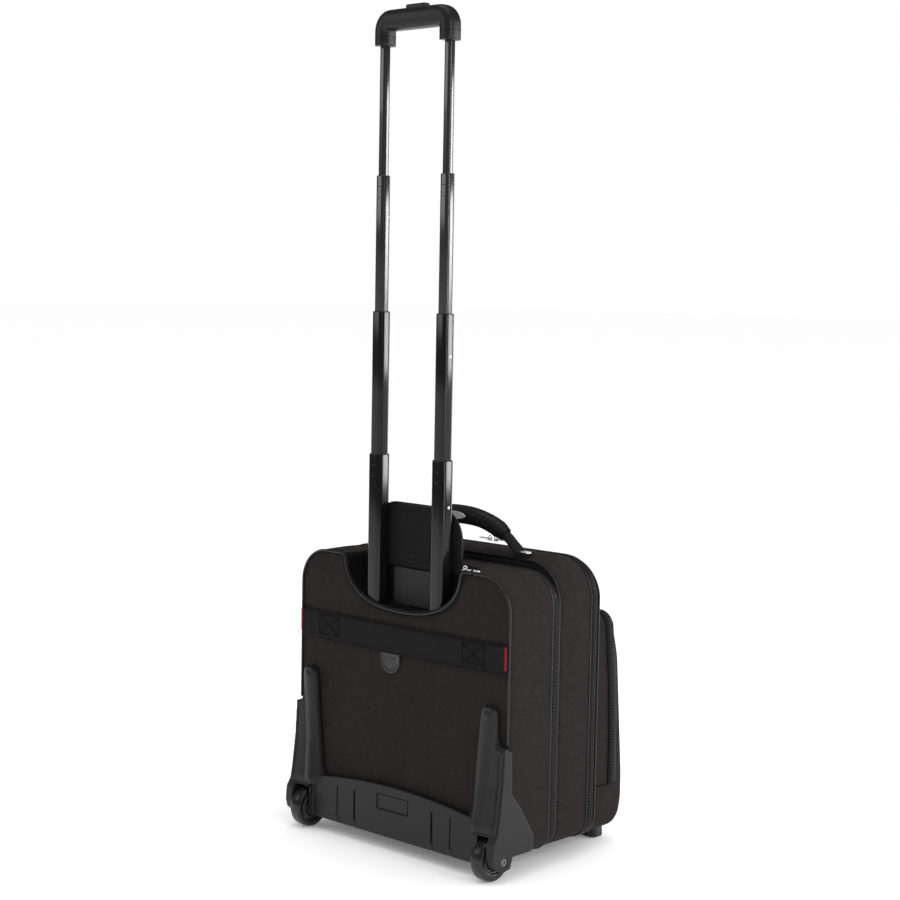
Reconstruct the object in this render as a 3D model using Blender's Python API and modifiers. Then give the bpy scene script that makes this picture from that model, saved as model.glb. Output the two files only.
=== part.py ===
"""Rolling laptop case with a four-stage trolley handle.

Metres, +Z up, X across the width, the wheels and the trolley handle at the back (+Y).
The origin is the centre of the case's footprint on the floor.
Each sub-part is one closed solid; moving pieces have their origin on their joint's axis.
"""

import math

import bmesh
import bpy
from mathutils import Matrix, Vector

# ---------------------------------------------------------------- driving dimensions
GAP = 0.0003  # clearance between neighbouring solids
WALL = 0.003  # thickness of a padded fabric wall

REAR_HALF_WIDTH = 0.199
FRONT_HALF_WIDTH = 0.1965
CASE_BOTTOM = 0.0245
REAR_TOP = 0.402
FRONT_TOP = 0.416
BACK_Y = 0.1222  # outer face of the back panel
REAR_FRONT_Y = 0.0262  # open front edge of the rear shell
FRONT_BACK_Y = 0.0175  # back face of the front section
LID_SEAM_Y = -0.0622  # open front edge of the front shell
REAR_TOP_RADIUS = 0.048
FRONT_TOP_RADIUS = 0.055
BOTTOM_RADIUS = 0.030

AXLE_Y = 0.125
WHEEL_RADIUS = 0.0295
WHEEL_X = 0.1757
TYRE_WIDTH = 0.020

CUTOUT_HALF_WIDTH = 0.1105  # U-shaped opening in the back panel
CUTOUT_DEPTH = 0.069
CUTOUT_POWER = 2.4
TRAY_FRONT_Y = 0.0782
TRAY_BACK_Y = 0.1194
TRAY_FACE_Y = 0.0892  # face of the recess behind the tubes

TUBE_X = 0.0603
TUBE_Y = 0.1075
TUBE_WALL = 0.0010
TUBE_CORNER = 0.0042
# Outer size across X and Y, lowest and highest point with the handle pulled out.
FIXED_TUBE = (0.0272, 0.0262, 0.0340, 0.3200)
STAGE_TUBES = (
    (0.0240, 0.0230, 0.2830, 0.5450),
    (0.0205, 0.0195, 0.5100, 0.7410),
    (0.0165, 0.0155, 0.7080, 0.9255),
    (0.0125, 0.0115, 0.8955, 1.1230),
)
GRIP_BOTTOM = 1.0990
GRIP_UNDERSIDE = 1.1180
GRIP_TOP = 1.1465
GRIP_DEPTH = 0.0280
COLLAR_HALF_WIDTH = 0.0112
BUTTON_TOP = 1.1505
BUTTON_TRAVEL = 0.003

GUARD_BACK_Y = 0.1325
GUARD_BOTTOM = 0.0190
WING_X = 0.2012

POCKET_HALF_WIDTH = 0.180
POCKET_RADIUS = 0.018
POCKET_FRONT_Y = -0.1545
POCKET_BOTTOM = 0.0275
POCKET_HINGE_Z = 0.0870
SPLIT_TOP_Y = -0.1010
SPLIT_BOTTOM_Y = -0.1210

FLAP_HINGE_Y = 0.0909
FLAP_HINGE_Z = 0.4048
FLAP_HALF_WIDTH = 0.0830
FLAP_TOP = 0.4780
HANDLE_AXIS_Y = 0.008
HANDLE_AXIS_Z = 0.4190

# ---------------------------------------------------------------- empty scene
for leftover in list(bpy.data.objects):
    bpy.data.objects.remove(leftover, do_unlink=True)

CASE = bpy.data.collections.new("rolling_laptop_case")
CUTTERS = bpy.data.collections.new("cutters")
bpy.context.scene.collection.children.link(CASE)
bpy.context.scene.collection.children.link(CUTTERS)
CUTTERS.hide_render = True


# ---------------------------------------------------------------- materials
def make_material(name, colour, roughness, metallic=0.0):
    material = bpy.data.materials.new(name)
    material.use_nodes = True
    shader = material.node_tree.nodes["Principled BSDF"]
    shader.inputs["Base Color"].default_value = (*colour, 1.0)
    shader.inputs["Roughness"].default_value = roughness
    shader.inputs["Metallic"].default_value = metallic
    material.diffuse_color = (*colour, 1.0)
    return material


COLOURS = {
    "ballistic_fabric": ((0.030, 0.028, 0.029), 0.85, 0.0),
    "grey_lining": ((0.085, 0.085, 0.085), 0.80, 0.0),
    "webbing": ((0.024, 0.024, 0.024), 0.75, 0.0),
    "guard_plastic": ((0.045, 0.045, 0.045), 0.50, 0.0),
    "grip_plastic": ((0.030, 0.030, 0.030), 0.35, 0.0),
    "tube_aluminium": ((0.030, 0.030, 0.030), 0.30, 0.9),
    "steel": ((0.60, 0.60, 0.60), 0.30, 1.0),
    "tyre_rubber": ((0.020, 0.020, 0.020), 0.35, 0.0),
    "hub_plastic": ((0.050, 0.050, 0.050), 0.40, 0.0),
    "red_label": ((0.55, 0.03, 0.05), 0.70, 0.0),
    "board": ((0.12, 0.11, 0.10), 0.80, 0.0),
    "zip_tape": ((0.018, 0.018, 0.018), 0.55, 0.0),
}
MATERIALS = {name: make_material(name, *values) for name, values in COLOURS.items()}


# ---------------------------------------------------------------- outlines
def arc(centre_x, centre_y, radius, start, end, steps):
    """Points on a circle from start to end, in degrees."""
    angles = [math.radians(start + (end - start) * i / steps) for i in range(steps + 1)]
    return [(centre_x + radius * math.cos(a), centre_y + radius * math.sin(a)) for a in angles]


def case_outline(half_width, bottom, top, top_radius, bottom_radius, steps=6):
    """Rounded rectangle across X and Z."""
    left = -half_width
    right = half_width
    points = arc(right - top_radius, top - top_radius, top_radius, 0, 90, steps)
    points += arc(left + top_radius, top - top_radius, top_radius, 90, 180, steps)
    points += arc(left + bottom_radius, bottom + bottom_radius, bottom_radius, 180, 270, steps)
    points += arc(right - bottom_radius, bottom + bottom_radius, bottom_radius, 270, 360, steps)
    return points


def rear_outline(inset=0.0):
    return case_outline(REAR_HALF_WIDTH - inset, CASE_BOTTOM + inset, REAR_TOP - inset,
                        REAR_TOP_RADIUS - inset, BOTTOM_RADIUS - inset)


def front_outline(inset=0.0):
    return case_outline(FRONT_HALF_WIDTH - inset, CASE_BOTTOM + inset, FRONT_TOP - inset,
                        FRONT_TOP_RADIUS - inset, BOTTOM_RADIUS - inset)


def rectangle(x0, x1, y0, y1):
    return [(x0, y0), (x1, y0), (x1, y1), (x0, y1)]


def rounded_rectangle(centre_x, centre_y, width, height, radius, steps=3):
    half_w = width / 2 - radius
    half_h = height / 2 - radius
    points = []
    for turn, (sx, sy) in enumerate(((1, 1), (-1, 1), (-1, -1), (1, -1))):
        points += arc(centre_x + sx * half_w, centre_y + sy * half_h, radius,
                      90 * turn, 90 * turn + 90, steps)
    return points


def cutout_curve(grow=0.0, steps=28):
    """The U of the back opening, from its left top end to its right one."""
    half = CUTOUT_HALF_WIDTH + grow
    depth = CUTOUT_DEPTH + grow
    points = []
    for i in range(steps + 1):
        angle = math.pi * i / steps
        cosine = math.cos(angle)
        x = half * math.copysign(abs(cosine) ** (2 / CUTOUT_POWER), cosine)
        z = REAR_TOP - depth * math.sin(angle) ** (2 / CUTOUT_POWER)
        points.append((x, z))
    return points


def cutout_outline(grow=0.0, top=REAR_TOP):
    """The same U closed by a straight top edge."""
    curve = cutout_curve(grow)
    return curve[1:-1] + [(-CUTOUT_HALF_WIDTH - grow, top), (CUTOUT_HALF_WIDTH + grow, top)]


def inset_polygon(points, distance):
    """Moves every side of a convex polygon inwards by the same distance."""
    area = sum(a[0] * b[1] - b[0] * a[1] for a, b in zip(points, points[1:] + points[:1]))
    side = 1.0 if area > 0 else -1.0
    lines = []
    for a, b in zip(points, points[1:] + points[:1]):
        along = (Vector(b) - Vector(a)).normalized()
        inward = Vector((-along.y, along.x)) * side
        lines.append((Vector(a) + inward * distance, along))
    result = []
    for (p, u), (q, v) in zip([lines[-1]] + lines[:-1], lines):
        t = ((q.x - p.x) * v.y - (q.y - p.y) * v.x) / (u.x * v.y - u.y * v.x)
        result.append((p.x + u.x * t, p.y + u.y * t))
    return result


# ---------------------------------------------------------------- solids
def place(name, mesh, material, origin):
    """Makes the object of a mesh given in world space, with its origin at a joint's axis."""
    mesh.transform(Matrix.Translation(-Vector(origin)))
    thing = bpy.data.objects.new(name, mesh)
    thing.location = origin
    if material is None:
        CUTTERS.objects.link(thing)
        thing.hide_render = True
        thing.display_type = "WIRE"
    else:
        CASE.objects.link(thing)
        thing.data.materials.clear()
        thing.data.materials.append(MATERIALS[material])
    return thing


def curve_to_mesh(curve_data):
    """The mesh of a curve, with its caps welded on."""
    holder = bpy.data.objects.new("curve_holder", curve_data)
    CUTTERS.objects.link(holder)
    graph = bpy.context.evaluated_depsgraph_get()
    mesh = bpy.data.meshes.new_from_object(holder.evaluated_get(graph))
    bpy.data.objects.remove(holder, do_unlink=True)
    shape = bmesh.new()
    shape.from_mesh(mesh)
    bmesh.ops.remove_doubles(shape, verts=shape.verts, dist=0.000002)
    bmesh.ops.recalc_face_normals(shape, faces=shape.faces)
    shape.to_mesh(mesh)
    shape.free()
    return mesh


# For each plane: where the outline's two directions and its thickness point.
PLANES = {
    "XZ": Matrix(((1, 0, 0, 0), (0, 0, -1, 0), (0, 1, 0, 0), (0, 0, 0, 1))),
    "YZ": Matrix(((0, 0, 1, 0), (1, 0, 0, 0), (0, 1, 0, 0), (0, 0, 0, 1))),
    "XY": Matrix.Identity(4),
}
PLANE_NORMAL = {"XZ": Vector((0, 1, 0)), "YZ": Vector((1, 0, 0)), "XY": Vector((0, 0, 1))}


def slab(name, plane, outline, low, high, material=None, holes=(), origin=(0, 0, 0), bevel=0.0):
    """A flat outline given thickness, from low to high across its plane."""
    low, high = min(low, high), max(low, high)
    data = bpy.data.curves.new(name, "CURVE")
    data.dimensions = "2D"
    data.fill_mode = "BOTH"
    data.extrude = (high - low) / 2
    for loop in (outline, *holes):
        spline = data.splines.new("POLY")
        spline.points.add(len(loop) - 1)
        for point, (a, b) in zip(spline.points, loop):
            point.co = (a, b, 0, 1)
        spline.use_cyclic_u = True
    mesh = curve_to_mesh(data)
    mesh.transform(PLANES[plane])
    mesh.transform(Matrix.Translation(PLANE_NORMAL[plane] * (low + high) / 2))
    thing = place(name, mesh, material, origin)
    if bevel:
        soften(thing, bevel)
    return thing


def block(name, low, high, material=None, origin=(0, 0, 0), bevel=0.0):
    """A box between two corners."""
    shape = bmesh.new()
    bmesh.ops.create_cube(shape, size=1.0)
    size = Vector(high) - Vector(low)
    bmesh.ops.scale(shape, verts=shape.verts, vec=size)
    bmesh.ops.translate(shape, verts=shape.verts, vec=(Vector(high) + Vector(low)) / 2)
    mesh = bpy.data.meshes.new(name)
    shape.to_mesh(mesh)
    shape.free()
    thing = place(name, mesh, material, origin)
    if bevel:
        soften(thing, bevel)
    return thing


def soften(thing, width, segments=2, angle=40):
    bevel = thing.modifiers.new("rounded_edges", "BEVEL")
    bevel.width = width
    bevel.segments = segments
    bevel.limit_method = "ANGLE"
    bevel.angle_limit = math.radians(angle)
    return thing


def combine(thing, other, operation):
    """Joins or cuts with another object, which becomes a helper."""
    boolean = thing.modifiers.new(operation.lower() + "_" + other.name, "BOOLEAN")
    boolean.operation = operation
    boolean.solver = "EXACT"
    boolean.object = other
    other.hide_render = True
    other.display_type = "WIRE"
    if other.name in CASE.objects:
        CASE.objects.unlink(other)
        CUTTERS.objects.link(other)
    return thing


def cut(thing, *cutters):
    for cutter in cutters:
        combine(thing, cutter, "DIFFERENCE")
    return thing


def unite(thing, *others):
    for other in others:
        combine(thing, other, "UNION")
    return thing


def turned(name, profile, material, origin, axis="X", steps=28, closed=False):
    """A profile of (radius, height) points turned about an axis through the origin."""
    mesh = bpy.data.meshes.new(name)
    points = [(radius, 0.0, height) for radius, height in profile]
    edges = [(i, i + 1) for i in range(len(points) - 1)]
    if closed:
        edges.append((len(points) - 1, 0))
    mesh.from_pydata(points, edges, [])
    thing = bpy.data.objects.new(name, mesh)
    screw = thing.modifiers.new("turn", "SCREW")
    screw.axis = "Z"
    screw.steps = steps
    screw.render_steps = steps
    screw.use_merge_vertices = True
    screw.merge_threshold = 0.00001
    thing.location = origin
    if axis == "X":
        thing.rotation_euler = (0, math.radians(90), 0)
    if material is None:
        CUTTERS.objects.link(thing)
        thing.hide_render = True
        thing.display_type = "WIRE"
    else:
        CASE.objects.link(thing)
        thing.data.materials.append(MATERIALS[material])
    return thing


def wire(name, points, radius, material, origin=(0, 0, 0), sides=2):
    """A round rod or cord along a list of points."""
    data = bpy.data.curves.new(name, "CURVE")
    data.dimensions = "3D"
    data.bevel_depth = radius
    data.bevel_resolution = sides
    data.use_fill_caps = True
    spline = data.splines.new("POLY")
    spline.points.add(len(points) - 1)
    for point, (x, y, z) in zip(spline.points, points):
        point.co = (x, y, z, 1)
    return place(name, curve_to_mesh(data), material, origin)


def both_sides():
    """The two sides of the case: +X is its left, seen from behind."""
    return (("left", 1), ("right", -1))


# ---------------------------------------------------------------- rear section
def make_rear_shell():
    shell = slab("rear_shell", "XZ", rear_outline(), REAR_FRONT_Y, BACK_Y, "ballistic_fabric")
    cavity = slab("rear_cavity", "XZ", rear_outline(WALL), REAR_FRONT_Y - 0.002, 0.1165)
    back_cavity = slab("rear_cavity_back", "XZ", rear_outline(0.0062), 0.1100, BACK_Y - 0.0025)
    opening = slab("rear_opening", "XZ", cutout_outline(0.0, REAR_TOP + 0.01),
                   TRAY_FRONT_Y + 0.0002, BACK_Y + 0.005)
    piping_rebate = slab("piping_rebate", "XZ", rear_outline(-0.01), 0.1187, BACK_Y + 0.004,
                         holes=[rear_outline(0.0037)])
    cut(shell, cavity, back_cavity, opening, piping_rebate)
    for side, s in both_sides():
        channel = block("tube_channel_" + side, (s * TUBE_X - 0.0142, 0.1100, 0.0280),
                        (s * TUBE_X + 0.0142, 0.1211, 0.3240))
        low_x, high_x = sorted((s * (HOUSING_INNER_X - GAP), s * 0.205))
        well = block("shell_wheel_well_" + side, (low_x, HOUSING_FRONT_Y - GAP, 0.015),
                     (high_x, 0.130, HOUSING_TOP + GAP))
        cut(shell, channel, well)
    return shell


def make_recess_tray():
    tray = slab("recess_tray", "XZ", cutout_outline(0.0045, 0.3986), TRAY_FRONT_Y, TRAY_BACK_Y,
                "ballistic_fabric")
    hollow = slab("tray_hollow", "XZ", cutout_outline(-0.0004, 0.42), TRAY_FACE_Y, 0.14)
    tray_lip = block("tray_lip", (-0.1098, TRAY_FRONT_Y + 0.0006, 0.3800),
                     (0.1098, TRAY_FACE_Y - GAP, REAR_TOP))
    relief = block("tray_relief", (-0.12, 0.1160, 0.3952), (0.12, 0.1250, 0.4100))
    cut(tray, hollow, relief)
    unite(tray, tray_lip)
    for side, s in both_sides():
        cut(tray, block("tray_tube_hole_" + side, (s * TUBE_X - 0.0135, 0.0945, 0.30),
                        (s * TUBE_X + 0.0135, 0.125, 0.36)))
    return tray


def make_rear_lining():
    wide = FLAP_HALF_WIDTH
    crease = 0.3892
    panel = [(-0.0440, 0.3400), (0.0440, 0.3400), (0.0440, crease), (wide, crease),
             (wide, FLAP_HINGE_Z - 0.0024), (-wide, FLAP_HINGE_Z - 0.0024), (-wide, crease),
             (-0.0440, crease)]
    slab("recess_panel", "XZ", panel, TRAY_FACE_Y + GAP, TRAY_FACE_Y + 0.0030, "grey_lining")
    slab("trolley_board", "XZ", rounded_rectangle(0, 0.2090, 0.300, 0.3560, 0.020),
         0.0760, 0.0778, "board")
    block("base_board", (-0.150, 0.0300, CASE_BOTTOM + WALL + GAP), (0.150, 0.0750, 0.0298),
          "board")
    sleeve = slab("laptop_sleeve", "XY", rounded_rectangle(0, 0.0590, 0.340, 0.0200, 0.004),
                  0.0302, 0.2850, "grey_lining")
    inside = slab("sleeve_hollow", "XY", rounded_rectangle(0, 0.0590, 0.334, 0.0140, 0.002),
                  0.0332, 0.30)
    cut(sleeve, inside)


def make_back_trim():
    inset = 0.0014
    corner = arc(REAR_HALF_WIDTH - REAR_TOP_RADIUS, REAR_TOP - REAR_TOP_RADIUS,
                 REAR_TOP_RADIUS - inset, 90, 0, 6)
    top_end = (CUTOUT_HALF_WIDTH + 0.0025, REAR_TOP - inset)
    low_end = (REAR_HALF_WIDTH - inset, 0.1815)
    for side, s in both_sides():
        path = [(s * x, 0.1209, z) for x, z in [top_end] + corner + [low_end]]
        wire("back_piping_" + side, path, 0.0016, "webbing")
    edge = [(x, BACK_Y + 0.0019, z) for x, z in cutout_curve(0.0005, 24)]
    wire("cutout_binding", edge, 0.0015, "webbing")


def make_back_strap():
    low = 0.2755
    high = 0.3155
    dip = 0.0015
    top = [(0.0980 * i, high + dip * (1 - (i / 2) ** 2)) for i in range(-2, 3)]
    bottom = [(0.0980 * i, low - dip * (1 - (i / 2) ** 2)) for i in range(2, -3, -1)]
    slab("back_strap", "XZ", top + bottom, BACK_Y + 0.0008, BACK_Y + 0.0026, "webbing")
    tab_x = 0.0165
    tab_half = 0.0180
    tab = [(tab_x - tab_half, 0.2735), (tab_x - tab_half, 0.2630)]
    tab += arc(tab_x, 0.2630, tab_half, 180, 360, 10)[1:] + [(tab_x + tab_half, 0.2735)]
    slab("strap_tab", "XZ", tab, BACK_Y + GAP, BACK_Y + 0.0030, "grip_plastic")
    for side, s in both_sides():
        block("side_tag_" + side, (s * 0.1915 - 0.0028, BACK_Y + 0.0029, 0.2810),
              (s * 0.1915 + 0.0028, BACK_Y + 0.0042, 0.3120), "red_label")


# ---------------------------------------------------------------- wheel housings and guard
HOUSING_INNER_X = 0.1600
HOUSING_FRONT_Y = 0.0890
HOUSING_TOP = 0.0680
LEG_INNER_X = 0.1878


def make_base_guard():
    half = 0.1630
    steps = 16
    top = []
    for i in range(steps + 1):
        x = half - 2 * half * i / steps
        top.append((x, 0.0910 - 0.0110 * (x / 0.145) ** 2))
    outline = top + [(-half, GUARD_BOTTOM), (half, GUARD_BOTTOM)]
    guard = slab("base_guard", "XZ", outline, BACK_Y + 0.0004, GUARD_BACK_Y, "guard_plastic")
    lip = block("guard_lip", (-half, 0.0800, GUARD_BOTTOM),
                (half, GUARD_BACK_Y - 0.001, CASE_BOTTOM - 0.0005))
    unite(guard, lip)
    for side, s in both_sides():
        unite(guard, *housing_pieces(side, s))
    for side, s in both_sides():
        cut(guard, *housing_cutters(side, s))
        for number, groove_x in enumerate((0.0750, 0.1095)):
            cut(guard, block(f"groove_{side}_{number}",
                             (s * groove_x - 0.0011, GUARD_BACK_Y - 0.0016, 0.0100),
                             (s * groove_x + 0.0011, GUARD_BACK_Y + 0.002, 0.0735)))
    label = slab("label_recess", "XZ", rounded_rectangle(0, 0.0670, 0.060, 0.0210, 0.002),
                 GUARD_BACK_Y - 0.0008, GUARD_BACK_Y + 0.002)
    cut(guard, label)


def housing_pieces(side, s):
    pod = [(HOUSING_FRONT_Y, 0.0200), (HOUSING_FRONT_Y, HOUSING_TOP),
           (BACK_Y + 0.0004, HOUSING_TOP), (BACK_Y + 0.0004, 0.1760), (0.1284, 0.1760),
           (0.1310, 0.1300), (0.1365, 0.0850), (0.1395, 0.0680), (0.1465, 0.0570),
           (0.1480, 0.0380)]
    pod += [(0.1450, 0.0270), (0.1370, 0.0195), (0.1250, 0.0165), (0.1130, 0.0185)]
    post_top = arc(0.1722, 0.2205, 0.0135, 170, 0, 8)
    shoulder = [(0.1860, 0.1950), (0.1875, 0.1870), (0.1920, 0.1820), (WING_X, 0.1795)]
    post = [(0.1440, 0.0700)] + post_top + shoulder + [(WING_X, 0.0700)]
    wing = [(0.1280, 0.1790), (0.1140, 0.1750), (0.1120, 0.1170), (0.0940, 0.0960),
            (0.0730, 0.0650), (0.0665, 0.0530), (0.0670, 0.0430), (0.0710, 0.0350),
            (0.0800, 0.0330), (0.1280, 0.0330)]
    return (
        slab("housing_pod_" + side, "YZ", pod, s * HOUSING_INNER_X, s * WING_X),
        slab("housing_post_" + side, "XZ", [(s * x, z) for x, z in post],
             BACK_Y + 0.0004, 0.1288),
        slab("housing_wing_" + side, "YZ", wing, s * (REAR_HALF_WIDTH + GAP), s * WING_X),
    )


def housing_cutters(side, s):
    inner_x = 0.1632
    well_outline = arc(AXLE_Y, WHEEL_RADIUS, 0.0335, 90, 180, 6)
    well_outline += [(AXLE_Y - 0.0335, -0.01), (0.165, -0.01), (0.165, WHEEL_RADIUS + 0.0335)]
    well = slab("wheel_well_" + side, "YZ", well_outline, s * inner_x, s * LEG_INNER_X)
    low_x, high_x = sorted((s * (HOUSING_INNER_X - 0.004), s * inner_x + s * 0.0001))
    inner_leg = block("inner_leg_trim_" + side, (low_x, 0.1375, 0.0), (high_x, 0.165, 0.0615))
    underside = slab("pod_underside_" + side, "YZ",
                     [(0.0600, 0.0100), (0.1160, 0.0100), (0.1085, 0.0336), (0.0600, 0.0336)],
                     s * 0.1700, s * 0.2040)
    bore = turned("axle_bore_" + side, [(0, 0.03), (0.0028, 0.03), (0.0028, -0.03), (0, -0.03)],
                  None, (s * 0.180, AXLE_Y, WHEEL_RADIUS), steps=16)
    sink = turned("head_sink_" + side, [(0, 0.003), (0.0068, 0.003), (0.0068, -0.003), (0, -0.003)],
                  None, (s * (WING_X + 0.0010), AXLE_Y, WHEEL_RADIUS), steps=20)
    return well, inner_leg, underside, bore, sink


def make_wheels():
    for side, s in both_sides():
        centre = (s * WHEEL_X, AXLE_Y, WHEEL_RADIUS)
        half = TYRE_WIDTH / 2
        shoulder = 0.0065
        tread = [(WHEEL_RADIUS - shoulder + a, b) for a, b in
                 arc(0, half - shoulder, shoulder, 90, 0, 4)]
        tread += [(WHEEL_RADIUS - shoulder + a, b) for a, b in
                  arc(0, shoulder - half, shoulder, 0, -90, 4)]
        rim = 0.0190
        turned("tyre_" + side, tread + [(rim, 0.0010 - half), (rim, half - 0.0010)],
               "tyre_rubber", centre, closed=True)
        hub = [(0.0186, 0.0080), (0.0186, -0.0080), (0.0160, -0.0080), (0.0145, -0.0030),
               (0.0085, -0.0030), (0.0075, -0.0085), (0.0052, -0.0085), (0.0052, 0.0085),
               (0.0075, 0.0085), (0.0085, 0.0030), (0.0145, 0.0030), (0.0160, 0.0080)]
        turned("hub_" + side, hub, "hub_plastic", centre, closed=True)
        bush = [(0.0048, 0.0087), (0.0048, -0.0087), (0.0029, -0.0087), (0.0029, 0.0087)]
        turned("wheel_bush_" + side, bush, "steel", centre, steps=20, closed=True)
        head_x = WING_X - 0.0018
        length = head_x - 0.1606
        pin = [(0, s * 0.0012), (0.0058, s * 0.0012), (0.0058, 0), (0.0024, 0),
               (0.0024, -s * length), (0, -s * length)]
        if s < 0:
            pin.reverse()
        turned("axle_" + side, pin, "steel", (s * head_x, AXLE_Y, WHEEL_RADIUS), steps=16)


# ---------------------------------------------------------------- trolley handle
def make_tube(name, size, sign, material="tube_aluminium"):
    width, depth, low, high = size
    outer = rounded_rectangle(sign * TUBE_X, TUBE_Y, width, depth, TUBE_CORNER)
    inner = rounded_rectangle(sign * TUBE_X, TUBE_Y, width - 2 * TUBE_WALL,
                              depth - 2 * TUBE_WALL, TUBE_CORNER - TUBE_WALL)
    return slab(name, "XY", outer, low, high, material, holes=[inner],
                origin=(sign * TUBE_X, TUBE_Y, low))


def make_trolley():
    for side, s in both_sides():
        make_tube("fixed_tube_" + side, FIXED_TUBE, s)
        for number, size in enumerate(STAGE_TUBES, start=1):
            make_tube(f"stage_{number}_tube_{side}", size, s)
    bracket = block("tube_bracket", (-0.082, 0.0930, CASE_BOTTOM + WALL + GAP),
                    (0.082, 0.1160, 0.0337), "guard_plastic")
    width, depth, low, high = FIXED_TUBE
    bezel = block("trolley_bezel", (-0.083, 0.0930, high + GAP), (0.083, 0.1195, high + 0.0050),
                  "guard_plastic")
    stage = STAGE_TUBES[0]
    for side, s in both_sides():
        hole = rounded_rectangle(s * TUBE_X, TUBE_Y, stage[0] + 0.0007, stage[1] + 0.0007,
                                 TUBE_CORNER)
        cut(bezel, slab("bezel_hole_" + side, "XY", hole, high - 0.004, high + 0.010))
    return bracket


def grip_outline():
    """Front view of the grip: a bar with a short collar at each end."""
    outer = TUBE_X + COLLAR_HALF_WIDTH
    inner = TUBE_X - COLLAR_HALF_WIDTH
    round_r = 0.026
    crook = 0.012
    points = arc(outer - round_r, GRIP_TOP - round_r, round_r, 0, 90, 7)
    points += arc(-outer + round_r, GRIP_TOP - round_r, round_r, 90, 180, 7)
    points += [(-outer, GRIP_BOTTOM), (-inner, GRIP_BOTTOM)]
    points += arc(-inner + crook, GRIP_UNDERSIDE - crook, crook, 180, 90, 4)
    points += arc(inner - crook, GRIP_UNDERSIDE - crook, crook, 90, 0, 4)
    points += [(inner, GRIP_BOTTOM), (outer, GRIP_BOTTOM)]
    return points


def make_grip():
    half = GRIP_DEPTH / 2
    grip = slab("grip", "XZ", grip_outline(), TUBE_Y - half, TUBE_Y + half, "grip_plastic",
                origin=(0, TUBE_Y, GRIP_BOTTOM), bevel=0.0045)
    tube = STAGE_TUBES[3]
    channel = block("grip_channel", (-0.0655, TUBE_Y - 0.0070, GRIP_UNDERSIDE - 0.0060),
                    (0.0655, TUBE_Y + 0.0070, 1.1352))
    mouth = block("grip_mouth", (-0.0440, TUBE_Y - 0.0085, GRIP_UNDERSIDE - 0.0100),
                  (0.0440, TUBE_Y + 0.0085, GRIP_UNDERSIDE + 0.0026))
    slot = slab("button_slot", "XY", rounded_rectangle(0, TUBE_Y, 0.0368, 0.0128, 0.004),
                1.1300, 1.1600)
    cut(grip, channel, mouth, slot)
    for side, s in both_sides():
        socket = rounded_rectangle(s * TUBE_X, TUBE_Y, tube[0] + 0.0006, tube[1] + 0.0006,
                                   TUBE_CORNER)
        cut(grip, slab("grip_socket_" + side, "XY", socket, GRIP_BOTTOM - 0.01, tube[3] + GAP))
    block("grip_cover", (-0.0437, TUBE_Y - 0.0082, GRIP_UNDERSIDE + 0.0002),
          (0.0437, TUBE_Y + 0.0082, GRIP_UNDERSIDE + 0.0022), "grip_plastic")


def make_release():
    """Button, cross bar and the two rods that pull the lock pins back."""
    button = slab("release_button", "XY", rounded_rectangle(0, TUBE_Y, 0.0360, 0.0120, 0.0038),
                  1.1330, BUTTON_TOP, "hub_plastic", origin=(0, TUBE_Y, BUTTON_TOP), bevel=0.0012)
    bar = block("release_bar", (-0.0640, TUBE_Y - 0.0042, 1.1290), (0.0640, TUBE_Y + 0.0042, 1.1345))
    unite(button, bar)
    for side, s in both_sides():
        rod = block("release_rod_" + side, (s * TUBE_X - 0.0016, TUBE_Y - 0.0016, 0.9200),
                    (s * TUBE_X + 0.0016, TUBE_Y + 0.0016, 1.1300))
        unite(button, rod)
    turns = 3.5
    per_turn = 8
    low = GRIP_UNDERSIDE + 0.0022 + GAP + 0.0005
    high = 1.1290 - GAP - 0.0005
    count = int(turns * per_turn)
    coil = []
    for i in range(count + 1):
        angle = 2 * math.pi * i / per_turn
        coil.append((0.0030 * math.cos(angle), TUBE_Y + 0.0030 * math.sin(angle),
                     low + (high - low) * i / count))
    wire("button_spring", coil, 0.0004, "steel", origin=(0, TUBE_Y, low), sides=1)


def make_trolley_flap():
    half = FLAP_HALF_WIDTH
    radius = 0.0400
    low = FLAP_HINGE_Z + 0.0004
    outline = [(-half, low), (half, low)]
    outline += arc(half - radius, FLAP_TOP - radius, radius, 0, 90, 7)
    outline += arc(-half + radius, FLAP_TOP - radius, radius, 90, 180, 7)
    slab("trolley_flap", "XZ", outline, FLAP_HINGE_Y - 0.0016, FLAP_HINGE_Y + 0.0017,
         "ballistic_fabric", origin=(0, FLAP_HINGE_Y, FLAP_HINGE_Z))


# ---------------------------------------------------------------- front section and lid
def make_front_section():
    axis = (0, (REAR_FRONT_Y + FRONT_BACK_Y) / 2, CASE_BOTTOM - 0.0005)
    shell = slab("front_shell", "XZ", front_outline(), LID_SEAM_Y, FRONT_BACK_Y,
                 "ballistic_fabric", origin=axis)
    cut(shell, slab("front_cavity", "XZ", front_outline(WALL), LID_SEAM_Y - 0.003,
                    FRONT_BACK_Y - WALL))
    slab("middle_zip", "XZ", rear_outline(0.0015), REAR_FRONT_Y - 0.0044, REAR_FRONT_Y - GAP,
         "zip_tape", holes=[rear_outline(0.0040)])
    slab("lid_zip", "XZ", front_outline(0.0015), LID_SEAM_Y - 0.0036, LID_SEAM_Y - GAP,
         "zip_tape", holes=[front_outline(0.0040)], origin=axis)
    for side, s in both_sides():
        turned("handle_rivet_" + side,
               [(0, 0.0022), (0.0040, 0.0016), (0.0062, 0), (0, 0)],
               "steel", (s * 0.1245, HANDLE_AXIS_Y, FRONT_TOP + GAP), axis="Z", steps=16)


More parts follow.
